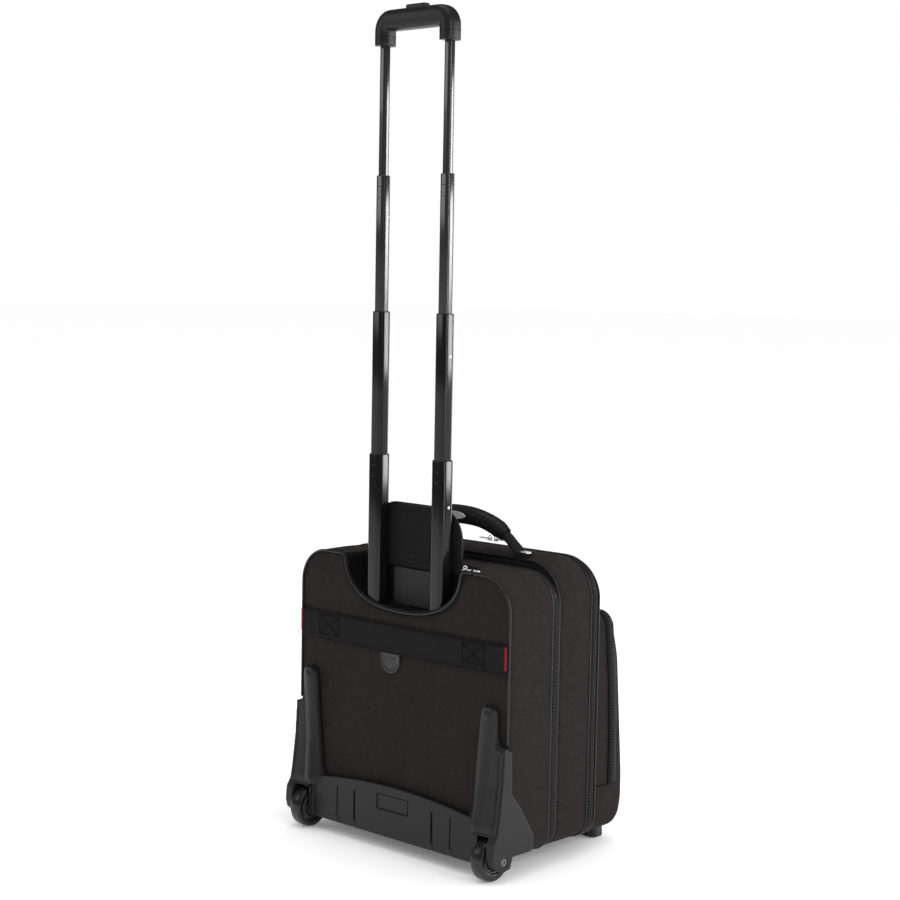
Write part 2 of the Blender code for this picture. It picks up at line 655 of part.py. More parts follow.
def make_carry_handle():
    axis = (0, HANDLE_AXIS_Y, HANDLE_AXIS_Z)
    span = 0.0840
    rise = 0.0185
    points = []
    steps = 14
    for i in range(steps + 1):
        x = -span + 2 * span * i / steps
        points.append((x, HANDLE_AXIS_Y, 0.4595 - rise * abs(x / span) ** 2.6))
    wire("carry_grip", points, 0.0100, "grip_plastic", origin=axis, sides=3)
    for side, s in both_sides():
        leg = [(0.0875, 0.4395), (0.1168, 0.4268), (0.1160, 0.4250), (0.1130, 0.4250),
               (0.0865, 0.4370)]
        slab("carry_web_" + side, "XZ", [(s * x, z) for x, z in leg],
             HANDLE_AXIS_Y - 0.0050, HANDLE_AXIS_Y + 0.0050, "webbing", origin=axis)
    slab("carry_badge", "XZ", [(0.0085 * math.cos(math.pi * i / 8),
                                0.4595 + 0.0050 * math.sin(math.pi * i / 8)) for i in range(16)],
         HANDLE_AXIS_Y + 0.0103, HANDLE_AXIS_Y + 0.0116, "steel", origin=axis)


POCKET_PROFILE = [
    (-0.0703, POCKET_BOTTOM), (-0.0703, 0.3370), (-0.0900, 0.3350), (-0.1150, 0.3220),
    (-0.1320, 0.2980), (-0.1400, 0.2650), (POCKET_FRONT_Y, 0.1000), (POCKET_FRONT_Y, 0.0620),
    (-0.1480, 0.0400), (-0.1320, POCKET_BOTTOM),
]


def split_region(shift):
    """Everything in front of the pocket's zip, moved back by shift."""
    return [(SPLIT_TOP_Y + shift, 0.3450), (-0.1800, 0.3450),
            (-0.1800, POCKET_HINGE_Z - shift), (SPLIT_BOTTOM_Y + shift, POCKET_HINGE_Z - shift)]


def pocket_outline(inset=0.0):
    """Front view of the pocket."""
    return case_outline(POCKET_HALF_WIDTH - inset, POCKET_BOTTOM + inset, 0.3370 - inset,
                        POCKET_RADIUS - inset, 0.012 - inset)


def pocket_body(name, origin):
    """The hollow pocket: its side view and its front view, both rounded."""
    half = POCKET_HALF_WIDTH
    body = slab(name, "YZ", POCKET_PROFILE, -half, half, "ballistic_fabric", origin=origin)
    combine(body, slab(name + "_front", "XZ", pocket_outline(), -0.17, -0.05), "INTERSECT")
    hollow = slab(name + "_hollow", "YZ", inset_polygon(POCKET_PROFILE, 0.0025),
                  -half + 0.0010, half - 0.0010)
    combine(hollow, slab(name + "_hollow_front", "XZ", pocket_outline(0.0025), -0.17, -0.05),
            "INTERSECT")
    return cut(body, hollow)


def make_lid():
    axis = (0, LID_SEAM_Y - 0.0040, CASE_BOTTOM - 0.0005)
    slab("lid_panel", "XZ", front_outline(0.0005), LID_SEAM_Y - 0.0078, LID_SEAM_Y - 0.0042,
         "ballistic_fabric", origin=axis)
    reach = POCKET_HALF_WIDTH + 0.01
    frame = pocket_body("pocket_frame", axis)
    cut(frame, slab("frame_split", "YZ", split_region(GAP), -reach, reach))
    flap_axis = (0, POCKET_FRONT_Y, POCKET_HINGE_Z)
    flap = pocket_body("pocket_flap", flap_axis)
    combine(flap, slab("flap_region", "YZ", split_region(-GAP), -reach, reach), "INTERSECT")
    for side, s in both_sides():
        turned("front_foot_" + side,
               [(0, POCKET_BOTTOM - GAP), (0.0120, POCKET_BOTTOM - GAP), (0.0105, 0.0015),
                (0.0090, 0), (0, 0)],
               "tyre_rubber", (s * 0.1350, -0.1340, 0), axis="Z", steps=16)


def make_pocket_zip():
    x = POCKET_HALF_WIDTH + 0.0028
    slope = (SPLIT_BOTTOM_Y - SPLIT_TOP_Y) / (POCKET_HINGE_Z - 0.3450)
    radius = POCKET_RADIUS + 0.0028
    centre_z = 0.3370 - POCKET_RADIUS
    top_z = 0.3332
    top_angle = math.degrees(math.asin((top_z - centre_z) / radius))
    right = []
    for i in range(5):
        z = 0.0900 + (centre_z - 0.0900) * i / 4
        right.append((x, SPLIT_TOP_Y + slope * (z - 0.3450) + 0.0030, z))
    top_y = right[-1][1]
    corner = arc(x - radius, centre_z, radius, 0, top_angle, 4)[1:]
    half = right + [(a, top_y, b) for a, b in corner]
    other = [(-a, b, c) for a, b, c in reversed(half)]
    wire("pocket_zip", half + other, 0.0022, "zip_tape",
         origin=(0, LID_SEAM_Y - 0.0040, CASE_BOTTOM - 0.0005))


# ---------------------------------------------------------------- zip pulls
def make_pull(name, hinge, length):
    """A flat pull tab that lies on the case and lifts about its inner end."""
    x, y, z = hinge
    direction = math.copysign(1, length)
    reach = abs(length)
    outline = [(0, -0.0022), (0.004, -0.0040), (reach - 0.002, -0.0040), (reach, -0.0020),
               (reach, 0.0020), (reach - 0.002, 0.0040), (0.004, 0.0040), (0, 0.0022)]
    outline = [(x + direction * a, y + b) for a, b in outline]
    hole = [(x + direction * a, y + b) for a, b in rounded_rectangle(reach - 0.0075, 0, 0.007, 0.0035, 0.0012, 2)]
    slab(name, "XY", outline, z - 0.0008, z + 0.0008, "steel", holes=[hole], origin=hinge)


def make_pulls():
    make_pull("rear_pull", (-0.1140, 0.1120, REAR_TOP + 0.0018), -0.021)
    for side, s in both_sides():
        make_pull("lid_pull_" + side, (s * 0.0050, LID_SEAM_Y - 0.0020, FRONT_TOP + 0.0018),
                  s * 0.021)
        make_pull("pocket_pull_" + side, (s * 0.0050, -0.0985, 0.3373), s * 0.021)


make_rear_shell()
make_recess_tray()
make_rear_lining()
make_back_trim()
make_back_strap()
make_base_guard()
make_wheels()
make_trolley()
make_grip()
make_release()
make_trolley_flap()
make_front_section()
make_carry_handle()
make_lid()
make_pocket_zip()
make_pulls()

for thing in CASE.objects:
    thing.data.set_sharp_from_angle(angle=math.radians(35))
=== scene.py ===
"""Looks of the rolling laptop case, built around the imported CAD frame.

Metres, +Z up, +Y towards the back with the wheels and the trolley handle, X across.
"""

import math

import bmesh
import bpy
from mathutils import Matrix, Vector, noise


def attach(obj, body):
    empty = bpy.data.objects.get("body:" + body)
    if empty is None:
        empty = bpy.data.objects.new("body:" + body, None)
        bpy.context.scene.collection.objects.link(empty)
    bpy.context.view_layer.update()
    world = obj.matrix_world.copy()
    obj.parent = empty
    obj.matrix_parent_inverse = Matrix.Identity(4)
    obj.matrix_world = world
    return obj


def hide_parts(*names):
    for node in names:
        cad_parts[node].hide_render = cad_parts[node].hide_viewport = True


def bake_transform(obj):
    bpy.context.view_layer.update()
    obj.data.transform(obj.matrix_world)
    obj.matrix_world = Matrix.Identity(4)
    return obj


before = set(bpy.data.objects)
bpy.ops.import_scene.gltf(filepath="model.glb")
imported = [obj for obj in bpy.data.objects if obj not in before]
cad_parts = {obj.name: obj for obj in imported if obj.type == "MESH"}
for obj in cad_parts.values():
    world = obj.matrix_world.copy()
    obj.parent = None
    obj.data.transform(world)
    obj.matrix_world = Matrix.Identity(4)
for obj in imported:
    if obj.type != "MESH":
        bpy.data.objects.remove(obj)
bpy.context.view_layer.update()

# ---------------------------------------------------------------- sizes
REAR_HALF = 0.199
FRONT_HALF = 0.1965
BOTTOM = 0.0245
REAR_TOP = 0.402
FRONT_TOP = 0.4155
REAR_CORNER = 0.048
FRONT_CORNER = 0.055
LOW_CORNER = 0.030
PANEL_EDGE_Y = 0.1192
REAR_FRONT_Y = 0.0262
FRONT_BACK_Y = 0.0172
ZIP_Y = -0.0600

CUT_HALF = 0.1105
CUT_DEPTH = 0.069
CUT_POWER = 2.4
SHOULDER = 0.009
RECESS_Y = 0.0892

TUBE_X = 0.0603
TUBE_Y = 0.1075
AXLE_Y = 0.125
WHEEL_R = 0.0295
WHEEL_X = 0.1757
HANDLE_Y = 0.008

POCKET_HALF = 0.180
POCKET_BACK_Y = -0.0704
POCKET_SPLIT_Z = 0.087
POCKET_TOP = 0.3297
POCKET_CORNER = 0.018

SIDES = (("left", 1), ("right", -1))
ZIP_FLOOR = 0.0252


# ---------------------------------------------------------------- node materials
M = {}


def value(tree, operation, a, b=None, c=None, clamp=False):
    node = tree.nodes.new("ShaderNodeMath")
    node.operation = operation
    node.use_clamp = clamp
    for socket, given in zip(node.inputs, (a, b, c)):
        if given is None:
            continue
        if isinstance(given, (int, float)):
            socket.default_value = given
        else:
            tree.links.new(given, socket)
    return node.outputs[0]


def plus(tree, a, b, share, clamp=False):
    """a plus a share of b."""
    return value(tree, "ADD", a, value(tree, "MULTIPLY", b, share), clamp=clamp)


def mix_value(tree, factor, a, b):
    """a where factor is 0 and b where it is 1."""
    return plus(tree, value(tree, "MULTIPLY", value(tree, "SUBTRACT", 1.0, factor), a), factor, b)


def object_axes(tree):
    place = tree.nodes.new("ShaderNodeTexCoord")
    split = tree.nodes.new("ShaderNodeSeparateXYZ")
    tree.links.new(place.outputs["Object"], split.inputs[0])
    return place.outputs["Object"], split.outputs


def facing(tree):
    """Two flags: whether the surface looks sideways along X, and whether it looks up or down."""
    geometry = tree.nodes.new("ShaderNodeNewGeometry")
    split = tree.nodes.new("ShaderNodeSeparateXYZ")
    tree.links.new(geometry.outputs["Normal"], split.inputs[0])
    x, y, z = (value(tree, "ABSOLUTE", axis) for axis in split.outputs)
    top = value(tree, "GREATER_THAN", z, 0.72)
    side = value(tree, "MULTIPLY", value(tree, "GREATER_THAN", x, y), value(tree, "SUBTRACT", 1.0, top))
    return side, top


def noise_at(tree, vector, scale, detail=3.0, roughness=0.5):
    node = tree.nodes.new("ShaderNodeTexNoise")
    node.inputs["Scale"].default_value = scale
    node.inputs["Detail"].default_value = detail
    node.inputs["Roughness"].default_value = roughness
    tree.links.new(vector, node.inputs["Vector"])
    return node.outputs["Fac"]


def paint(tree, shader, factor, dark, light, **settings):
    """Colours the surface from dark to light, each an RGB colour or a grey, and sets its other inputs."""
    ramp = tree.nodes.new("ShaderNodeValToRGB")
    for element, colour in zip(ramp.color_ramp.elements, (dark, light)):
        element.color = (*colour, 1) if isinstance(colour, tuple) else (colour, colour, colour, 1)
    tree.links.new(factor, ramp.inputs[0])
    tree.links.new(ramp.outputs[0], shader.inputs["Base Color"])
    for setting, level in settings.items():
        name = {"specular": "Specular IOR Level"}.get(setting, setting.replace("_", " ").title())
        shader.inputs[name].default_value = level


def start_material(name):
    """A new material, kept in M under its name."""
    M[name] = bpy.data.materials.new(name)
    M[name].use_nodes = True
    tree = M[name].node_tree
    return tree, tree.nodes["Principled BSDF"]


def bump(tree, shader, height, distance, strength=1.0):
    node = tree.nodes.new("ShaderNodeBump")
    node.inputs["Distance"].default_value = distance
    node.inputs["Strength"].default_value = strength
    tree.links.new(height, node.inputs["Height"])
    tree.links.new(node.outputs[0], shader.inputs["Normal"])


def cell(tree, coordinate, pitch):
    """Place across one yarn from 0 to 1, and the yarn's number."""
    scaled = value(tree, "DIVIDE", coordinate, pitch)
    return value(tree, "FRACT", scaled), value(tree, "FLOOR", scaled)


def hump(tree, place):
    return value(tree, "SINE", value(tree, "MULTIPLY", place, math.pi))


def woven(name, dark, light, pitch, depth, roughness=0.85, specular=0.08, streak=0.175):
    """Cloth with a basket weave of yarns, laid along the two axes closest to each face."""
    tree, shader = start_material(name)
    place, axes = object_axes(tree)
    side, top = facing(tree)
    across = mix_value(tree, side, axes["X"], axes["Y"])
    upward = mix_value(tree, top, axes["Z"], axes["Y"])
    wobble = value(tree, "MULTIPLY", noise_at(tree, place, 60.0, 2.0), pitch * 1.2)
    u, u_number = cell(tree, value(tree, "ADD", across, wobble), pitch)
    v, v_number = cell(tree, value(tree, "ADD", upward, wobble), pitch)
    checker = value(tree, "FLOORED_MODULO", value(tree, "ADD", u_number, v_number), 2.0)
    warp = value(tree, "MULTIPLY", hump(tree, u), mix_value(tree, 0.45, 1.0, hump(tree, v)))
    weft = value(tree, "MULTIPLY", hump(tree, v), mix_value(tree, 0.45, 1.0, hump(tree, u)))
    height = mix_value(tree, checker, warp, weft)
    yarns = tree.nodes.new("ShaderNodeTexWhiteNoise")
    yarns.noise_dimensions = "2D"
    which = tree.nodes.new("ShaderNodeCombineXYZ")
    tree.links.new(mix_value(tree, checker, u_number, 0.5), which.inputs[0])
    tree.links.new(mix_value(tree, checker, 0.5, v_number), which.inputs[1])
    tree.links.new(which.outputs[0], yarns.inputs["Vector"])
    mottle = noise_at(tree, place, 22.0, 4.0, 0.6)
    fine = noise_at(tree, place, 900.0, 2.0)
    stretch = tree.nodes.new("ShaderNodeMapping")
    stretch.inputs["Scale"].default_value = (0.16, 0.16, 1.0)
    tree.links.new(place, stretch.inputs["Vector"])
    slubs = value(tree, "SUBTRACT", noise_at(tree, stretch.outputs[0], 620.0, 3.0, 0.7), 0.5)
    # Painted shade: the colour follows the weave's height, lighter on the yarn crowns and darker in the
    # hollows between yarns. The yarn streaks, mottle and slubs are the cloth's own uneven tone.
    shade = plus(tree, value(tree, "MULTIPLY", yarns.outputs["Value"], streak), height, 0.35)
    shade = plus(tree, shade, mottle, 0.35)
    shade = plus(tree, shade, slubs, 1.1)
    shade = plus(tree, shade, fine, 0.2, clamp=True)
    paint(tree, shader, shade, dark, light, sheen_weight=0.02, sheen_roughness=0.4, specular=specular)
    tree.links.new(plus(tree, roughness - 0.1, mottle, 0.2), shader.inputs["Roughness"])
    bump(tree, shader, plus(tree, height, fine, 0.3), depth)


def ribbed(name, dark, light, pitch, depth, axis):
    """Narrow tape or webbing, with ribs across one axis and a fine twill over them."""
    tree, shader = start_material(name)
    place, axes = object_axes(tree)
    run = axes[axis]
    other = axes["Z" if axis != "Z" else "Y"]
    rib, _ = cell(tree, run, pitch)
    fibre, _ = cell(tree, plus(tree, other, run, 0.5), pitch * 0.6)
    height = plus(tree, hump(tree, rib), hump(tree, fibre), 0.5)
    worn = noise_at(tree, place, 140.0, 4.0, 0.6)
    # Painted shade: the colour follows the rib height, darker in the hollows between ribs, with a random tone
    # over it.
    shade = plus(tree, value(tree, "MULTIPLY", height, 0.4), worn, 0.45, clamp=True)
    paint(tree, shader, shade, dark, light, roughness=0.7, specular=0.12, sheen_weight=0.01,
          sheen_roughness=0.4)
    bump(tree, shader, height, depth)


def moulded(name, dark, light, grain, depth, roughness, specular=0.4, uneven=0.12):
    """Moulded plastic or rubber with a fine grain and slightly uneven gloss."""
    tree, shader = start_material(name)
    place, _ = object_axes(tree)
    pits = tree.nodes.new("ShaderNodeTexVoronoi")
    pits.inputs["Scale"].default_value = grain
    tree.links.new(place, pits.inputs["Vector"])
    cloud = noise_at(tree, place, 35.0, 5.0, 0.6)
    fine = noise_at(tree, place, grain * 1.7, 2.0)
    paint(tree, shader, cloud, dark, light, specular=specular)
    tree.links.new(plus(tree, roughness - uneven / 2, cloud, uneven), shader.inputs["Roughness"])
    bump(tree, shader, value(tree, "ADD", pits.outputs["Distance"], fine), depth)


def metal(name, dark, light, roughness, metallic, stretch=(1, 1, 1), grain=300.0, depth=0.00002,
          specular=0.5):
    """Plated or anodised metal with faint drawn lines and finger marks."""
    tree, shader = start_material(name)
    place, _ = object_axes(tree)
    mapping = tree.nodes.new("ShaderNodeMapping")
    mapping.inputs["Scale"].default_value = stretch
    tree.links.new(place, mapping.inputs["Vector"])
    lines = noise_at(tree, mapping.outputs[0], grain, 3.0)
    marks = noise_at(tree, place, 45.0, 4.0, 0.65)
    paint(tree, shader, lines, dark, light, metallic=metallic, specular=specular)
    rough = plus(tree, plus(tree, roughness - 0.01, marks, 0.02), lines, 0.03)
    tree.links.new(rough, shader.inputs["Roughness"])
    bump(tree, shader, lines, depth)


# Each maker is called with a name, a dark and a light colour, and its own measures.
woven("nylon", (0.0058, 0.0043, 0.0046), (0.0304, 0.0241, 0.0244), 0.00105, 0.00030)
woven("nylon_dark", 0.0050, 0.0160, 0.0009, 0.00020)
woven("lining", 0.0022, 0.0070, 0.0007, 0.00012)
woven("grey_cloth", 0.035, 0.075, 0.0008, 0.00014, 0.65)
woven("pad_cloth", 0.016, 0.034, 0.0008, 0.00014, 0.65, 0.2)
ribbed("tape", 0.0030, 0.0105, 0.0011, 0.00020, "X")
ribbed("zip_tape", 0.0030, 0.0095, 0.0008, 0.00012, "Z")
moulded("coil", 0.0070, 0.0150, 2400, 0.00003, 0.34, 0.45)
woven("piping", 0.0022, 0.0070, 0.0007, 0.00006, 0.38, 0.42)
moulded("thread", 0.0050, 0.0120, 5000, 0.00003, 0.5, 0.2)
moulded("guard", 0.0078, 0.0126, 1300, 0.00005, 0.40, 0.26)
moulded("seam_shadow", 0.0012, 0.0030, 1300, 0.00002, 0.7, 0.05)
moulded("grip", 0.0072, 0.0115, 1800, 0.00002, 0.34, 0.26)
moulded("rubber_pad", 0.0150, 0.0240, 1500, 0.00004, 0.42)
moulded("badge", 0.36, 0.48, 1500, 0.00002, 0.30)
moulded("tyre", 0.0060, 0.0110, 900, 0.00003, 0.28)
moulded("hub", 0.0300, 0.0480, 1500, 0.00003, 0.38)
metal("anodised", 0.0050, 0.0060, 0.15, 0.0, (1, 1, 0.02), 500.0, 0.0, 0.36)
metal("anodised_upper", 0.0150, 0.0175, 0.15, 0.0, (1, 1, 0.02), 500.0, 0.0, 0.70)
metal("nickel", 0.62, 0.78, 0.24, 0.45)
metal("dark_steel", 0.10, 0.16, 0.28, 0.6)
metal("steel", 0.42, 0.52, 0.30, 1.0)
ribbed("red", (0.085, 0.006, 0.011), (0.20, 0.014, 0.022), 0.0008, 0.00014, "Z")
moulded("board", 0.09, 0.13, 300, 0.0001, 0.7)


# ---------------------------------------------------------------- geometry as (points, faces)
def merged(parts):
    points, faces = [], []
    for part_points, part_faces in parts:
        base = len(points)
        points += [tuple(p) for p in part_points]
        faces += [tuple(i + base for i in f) for f in part_faces]
    return points, faces


def loft(rows, closed=False, capped=False, looped=False):
    """Quads between rows of points. closed joins each row's ends, looped joins the last row to the first."""
    count = len(rows[0])
    points = [tuple(p) for row in rows for p in row]
    faces = []
    pairs = list(range(len(rows) - 1)) + ([len(rows) - 1] if looped else [])
    for r in pairs:
        nxt = (r + 1) % len(rows)
        for i in range(count if closed else count - 1):
            j = (i + 1) % count
            faces.append((r * count + i, r * count + j, nxt * count + j, nxt * count + i))
    if capped:
        faces.append(tuple(reversed(range(count))))
        faces.append(tuple(range((len(rows) - 1) * count, len(rows) * count)))
    return points, faces


def solid(rows):
    return loft(rows, closed=True, capped=True)


def sweep(path, profile, closed=False, normals=None, scale=None):
    """A profile of (side, out) points carried along a path."""
    path = [Vector(p) for p in path]
    count = len(path)
    rows = []
    side = None
    for i, point in enumerate(path):
        before = path[(i - 1) % count] if closed or i else point
        after = path[(i + 1) % count] if closed or i < count - 1 else point
        along = (after - before).normalized()
        if normals is not None:
            out = Vector(normals[i])
            side = along.cross(out).normalized()
        elif side is None:
            guess = Vector((0, 0, 1)) if abs(along.z) < 0.9 else Vector((0, 1, 0))
            side = along.cross(guess).normalized()
        else:
            side = (side - along * side.dot(along)).normalized()
        out = side.cross(along).normalized()
        size = scale(i / (count - 1)) if scale else 1.0
        rows.append([point + side * (a * size) + out * (b * size) for a, b in profile])
    return loft(rows, closed=True, capped=not closed, looped=closed)


def turns(count):
    """Even angles round a full turn."""
    return [2 * math.pi * i / count for i in range(count)]


def squared(value_of, power):
    """A sine or cosine drawn towards a rounded square."""
    return math.copysign(abs(value_of) ** power, value_of)


def round_profile(radius, sides=10):
    return [(radius * math.cos(a), radius * math.sin(a)) for a in turns(sides)]


def band_profile(width, thickness):
    """Cross-section of a flat tape with rounded edges."""
    edge = thickness * 0.45
    w, t = width / 2, thickness / 2
    return [(w, -t + edge), (w, t - edge), (w - edge, t), (w * 0.5, t), (0, t), (-w * 0.5, t),
            (-w + edge, t), (-w, t - edge), (-w, -t + edge), (-w + edge, -t), (0, -t), (w - edge, -t)]


def turned(profile, centre, axis="X", steps=64):
    """A closed (radius, height) profile turned about an axis."""
    rows = []
    for angle in turns(steps):
        c, s = math.cos(angle), math.sin(angle)
        row = []
        for radius, height in profile:
            local = {"X": (height, radius * c, radius * s), "Y": (radius * c, height, radius * s),
                     "Z": (radius * c, radius * s, height)}[axis]
            row.append(Vector(centre) + Vector(local))
        rows.append(row)
    return loft(rows, closed=True, looped=True)


def arc(cx, cy, radius, start, end, steps):
    out = []
    for i in range(steps + 1):
        a = math.radians(start + (end - start) * i / steps)
        out.append((cx + radius * math.cos(a), cy + radius * math.sin(a)))
    return out


def spread(a, b, steps):
    return [a + (b - a) * i / steps for i in range(steps + 1)]


def smooth_step(t):
    t = max(0.0, min(1.0, t))
    return t * t * (3 - 2 * t)


def along_curve(points, step, shift=0.0):
    """Points a fixed distance apart on a polyline, each with its direction and its segment's number.

    A shift moves them on by a share of a step, and drops the last.
    """
    points = [Vector(p) for p in points]
    lengths = [(b - a).length for a, b in zip(points, points[1:])]
    total = sum(lengths)
    count = max(2, int(total / step))
    result, i, done = [], 0, 0.0
    for k in range(count if shift else count + 1):
        want = total * (k + shift) / count
        while i < len(lengths) - 1 and done + lengths[i] < want:
            done += lengths[i]
            i += 1
        t = (want - done) / lengths[i] if lengths[i] else 0
        result.append((points[i].lerp(points[i + 1], t), (points[i + 1] - points[i]).normalized(), i))
    return result


def capsule(start, end, radius, out):
    """One stitch: a short thread that dips at both ends."""
    start, end, out = Vector(start), Vector(end), Vector(out)
    along = (end - start).normalized()
    side = along.cross(out).normalized()
    rows = []
    for t, size, lift in ((0, 0.25, -0.6), (0.15, 0.8, 0.2), (0.5, 1.0, 0.5), (0.85, 0.8, 0.2),
                          (1, 0.25, -0.6)):
        centre = start.lerp(end, t) + out * radius * lift
        rows.append([centre + side * radius * size * math.cos(a) + out * radius * size * math.sin(a)
                     for a in turns(6)])
    return solid(rows)


def stitches(path, pitch=0.0042, length=0.0030, radius=0.00035):
    """A row of stitches on a face that looks back along +Y."""
    return merged([capsule(place, place + along * length, radius, (0, 1, 0))
                   for place, along, _ in along_curve(path, pitch)[:-1]])


# ---------------------------------------------------------------- objects
def linked(name, data):
    thing = bpy.data.objects.new(name, data)
    bpy.context.scene.collection.objects.link(thing)
    return thing


def mesh_of(name, part):
    points, faces = part
    mesh = bpy.data.meshes.new(name)
    mesh.from_pydata([tuple(p) for p in points], [], faces)
    return mesh


def applied(piece):
    """The piece's mesh with its modifiers worked in, and the modifiers gone."""
    final = bpy.data.meshes.new_from_object(piece.evaluated_get(bpy.context.evaluated_depsgraph_get()))
    piece.modifiers.clear()
    piece.data = final


def remeshed(piece, voxel):
    remesh = piece.modifiers.new("one_skin", "REMESH")
    remesh.mode = "VOXEL"
    remesh.voxel_size = voxel


def finish_mesh(mesh, material):
    """Smooth faces in one material."""
    for face in mesh.polygons:
        face.use_smooth = True
    mesh.materials.clear()
    mesh.materials.append(M[material])


def add(name, part, material, body, stands_for=(), slot=None, sharp=45, inside=None, cut=None):
    """A piece of the case. inside is a point that its faces look away from."""
    points, faces = part
    if cut is not None:
        faces = [face for face in faces
                 if not cut(sum((Vector(points[i]) for i in face), Vector()) / len(face))]
    mesh = mesh_of(name, (points, faces))
    shape = bmesh.new()
    shape.from_mesh(mesh)
    bmesh.ops.remove_doubles(shape, verts=shape.verts, dist=0.000005)
    loose = [v for v in shape.verts if not v.link_faces]
    bmesh.ops.delete(shape, geom=loose, context="VERTS")
    bmesh.ops.recalc_face_normals(shape, faces=shape.faces)
    if inside is not None:
        away = sum((f.calc_center_median() - Vector(inside)).dot(f.normal) * f.calc_area()
                   for f in shape.faces)
        if away < 0:
            bmesh.ops.reverse_faces(shape, faces=shape.faces)
    shape.to_mesh(mesh)
    shape.free()
    finish_mesh(mesh, material)
    if sharp:
        mesh.set_sharp_from_angle(angle=math.radians(sharp))
    piece = linked(name, mesh)
    if isinstance(body, str):
        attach(piece, body)
    else:
        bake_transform(piece)
    if stands_for:
        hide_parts(*stands_for)
    return piece


def thicken(piece, thickness):
    shell = piece.modifiers.new("cloth_thickness", "SOLIDIFY")
    shell.thickness = thickness
    shell.offset = -1
    shell.use_even_offset = False
    return piece


def skin(name, rows, material, body, inside, thickness=0.0024, closed=False, **more):
    return thicken(add(name, loft(rows, closed=closed), material, body, inside=inside, **more), thickness)


def cord(name, path, radius, material, body, closed=False, stands_for=()):
    add(name, sweep(path, round_profile(radius), closed=closed), material, body, stands_for, "webbing")


def carved(piece, blocks):
    """Takes boxes out of the piece, each given as its low and high corners."""
    cutters = []
    for low, high in blocks:
        corners = [(x, y, z) for z in (low[2], high[2])
                   for x, y in ((low[0], low[1]), (high[0], low[1]), (high[0], high[1]), (low[0], high[1]))]
        faces = [(3, 2, 1, 0), (4, 5, 6, 7), (0, 1, 5, 4), (1, 2, 6, 5), (2, 3, 7, 6), (3, 0, 4, 7)]
        cutters.append(linked("cutter", mesh_of("cutter", (corners, faces))))
        removal = piece.modifiers.new("removal", "BOOLEAN")
        removal.operation = "DIFFERENCE"
        removal.solver = "EXACT"
        removal.object = cutters[-1]
    applied(piece)
    for cutter in cutters:
        bpy.data.objects.remove(cutter)


def inflated(piece, voxel, pressure, cap, material):
    """Blows a pad up as cloth and keeps the result, no point further than cap from where it began."""
    scene = bpy.context.scene
    twin = linked("twin", piece.data.copy())
    remeshed(twin, voxel)
    applied(twin)
    began = [v.co.copy() for v in twin.data.vertices]
    cloth = twin.modifiers.new("cloth", "CLOTH")
    cloth.settings.use_pressure = True
    cloth.settings.uniform_pressure_force = pressure
    cloth.settings.effector_weights.gravity = 0
    for number in range(1, 21):
        scene.frame_set(number)
    applied(twin)
    swollen = twin.data
    for vertex, start in zip(swollen.vertices, began):
        move = vertex.co - start
        if move.length > cap:
            vertex.co = start + move * (cap / move.length)
    scene.frame_set(1)
    finish_mesh(swollen, material)
    bpy.data.objects.remove(twin)
    piece.data = swollen
    finer = piece.modifiers.new("finer", "SUBSURF")
    finer.levels = finer.render_levels = 1


def rounded_copy(name, node, extra, material, body, voxel, rounds, keep):
    """A new mesh round a CAD node and extra solids, with every moulded edge and corner rounded off."""
    shape = bmesh.new()
    shape.from_mesh(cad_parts[node].data)
    bmesh.ops.remove_doubles(shape, verts=shape.verts, dist=0.00001)
    shape.from_mesh(mesh_of(name + "_extra", merged(extra)))
    bmesh.ops.recalc_face_normals(shape, faces=shape.faces)
    mesh = bpy.data.meshes.new(name)
    shape.to_mesh(mesh)
    shape.free()
    piece = linked(name, mesh)
    remeshed(piece, voxel)
    relax = piece.modifiers.new("rounded", "SMOOTH")
    relax.factor = 0.5
    relax.iterations = rounds
    fewer = piece.modifiers.new("fewer_faces", "DECIMATE")
    fewer.ratio = keep
    applied(piece)
    finish_mesh(piece.data, material)
    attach(piece, body)
    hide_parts(node)


# ---------------------------------------------------------------- case outlines
def rounding(cx, cz, radius, start, end, steps):
    """A corner of an outline as (x, z, outward x, outward z)."""
    result = []
    for angle in spread(start, end, steps):
        c, s = math.cos(math.radians(angle)), math.sin(math.radians(angle))
        result.append((cx + radius * c, cz + radius * s, c, s))
    return result


def outline(half, bottom, top, top_r, low_r):
    """Closed outline of a section as (x, z, outward x, outward z), the same count each time."""
    flat = half - top_r
    tops = spread(flat, CUT_HALF, 4)[:-1] + spread(CUT_HALF, -CUT_HALF, 20)[:-1] + spread(-CUT_HALF, -flat, 4)
    result = [(x, bottom, 0, -1) for x in spread(-half + low_r, half - low_r, 24)[:-1]]
    result += rounding(half - low_r, bottom + low_r, low_r, -90, 0, 8)[:-1]
    result += [(half, z, 1, 0) for z in spread(bottom + low_r, top - top_r, 30)[:-1]]
    result += rounding(half - top_r, top - top_r, top_r, 0, 90, 12)[:-1]
    result += [(x, top, 0, 1) for x in tops[:-1]]
    result += rounding(-half + top_r, top - top_r, top_r, 90, 180, 12)[:-1]
    result += [(-half, z, -1, 0) for z in spread(top - top_r, bottom + low_r, 30)[:-1]]
    result += rounding(-half + low_r, bottom + low_r, low_r, 180, 270, 8)[:-1]
    return result


REAR_LINE = outline(REAR_HALF, BOTTOM, REAR_TOP, REAR_CORNER, LOW_CORNER)
FRONT_LINE = outline(FRONT_HALF, BOTTOM, FRONT_TOP, FRONT_CORNER, LOW_CORNER)


def ring(line, y, offset, dents=0.0):
    """One row of a gusset: the outline at depth y, moved out by offset(outward x, outward z), with dents."""
    row = []
    for x, z, nx, nz in line:
        move = offset(nx, nz) + dents * noise.noise(Vector((x * 14, y * 9, z * 14)))
        row.append((x + nx * move, y, z + nz * move))
    return row


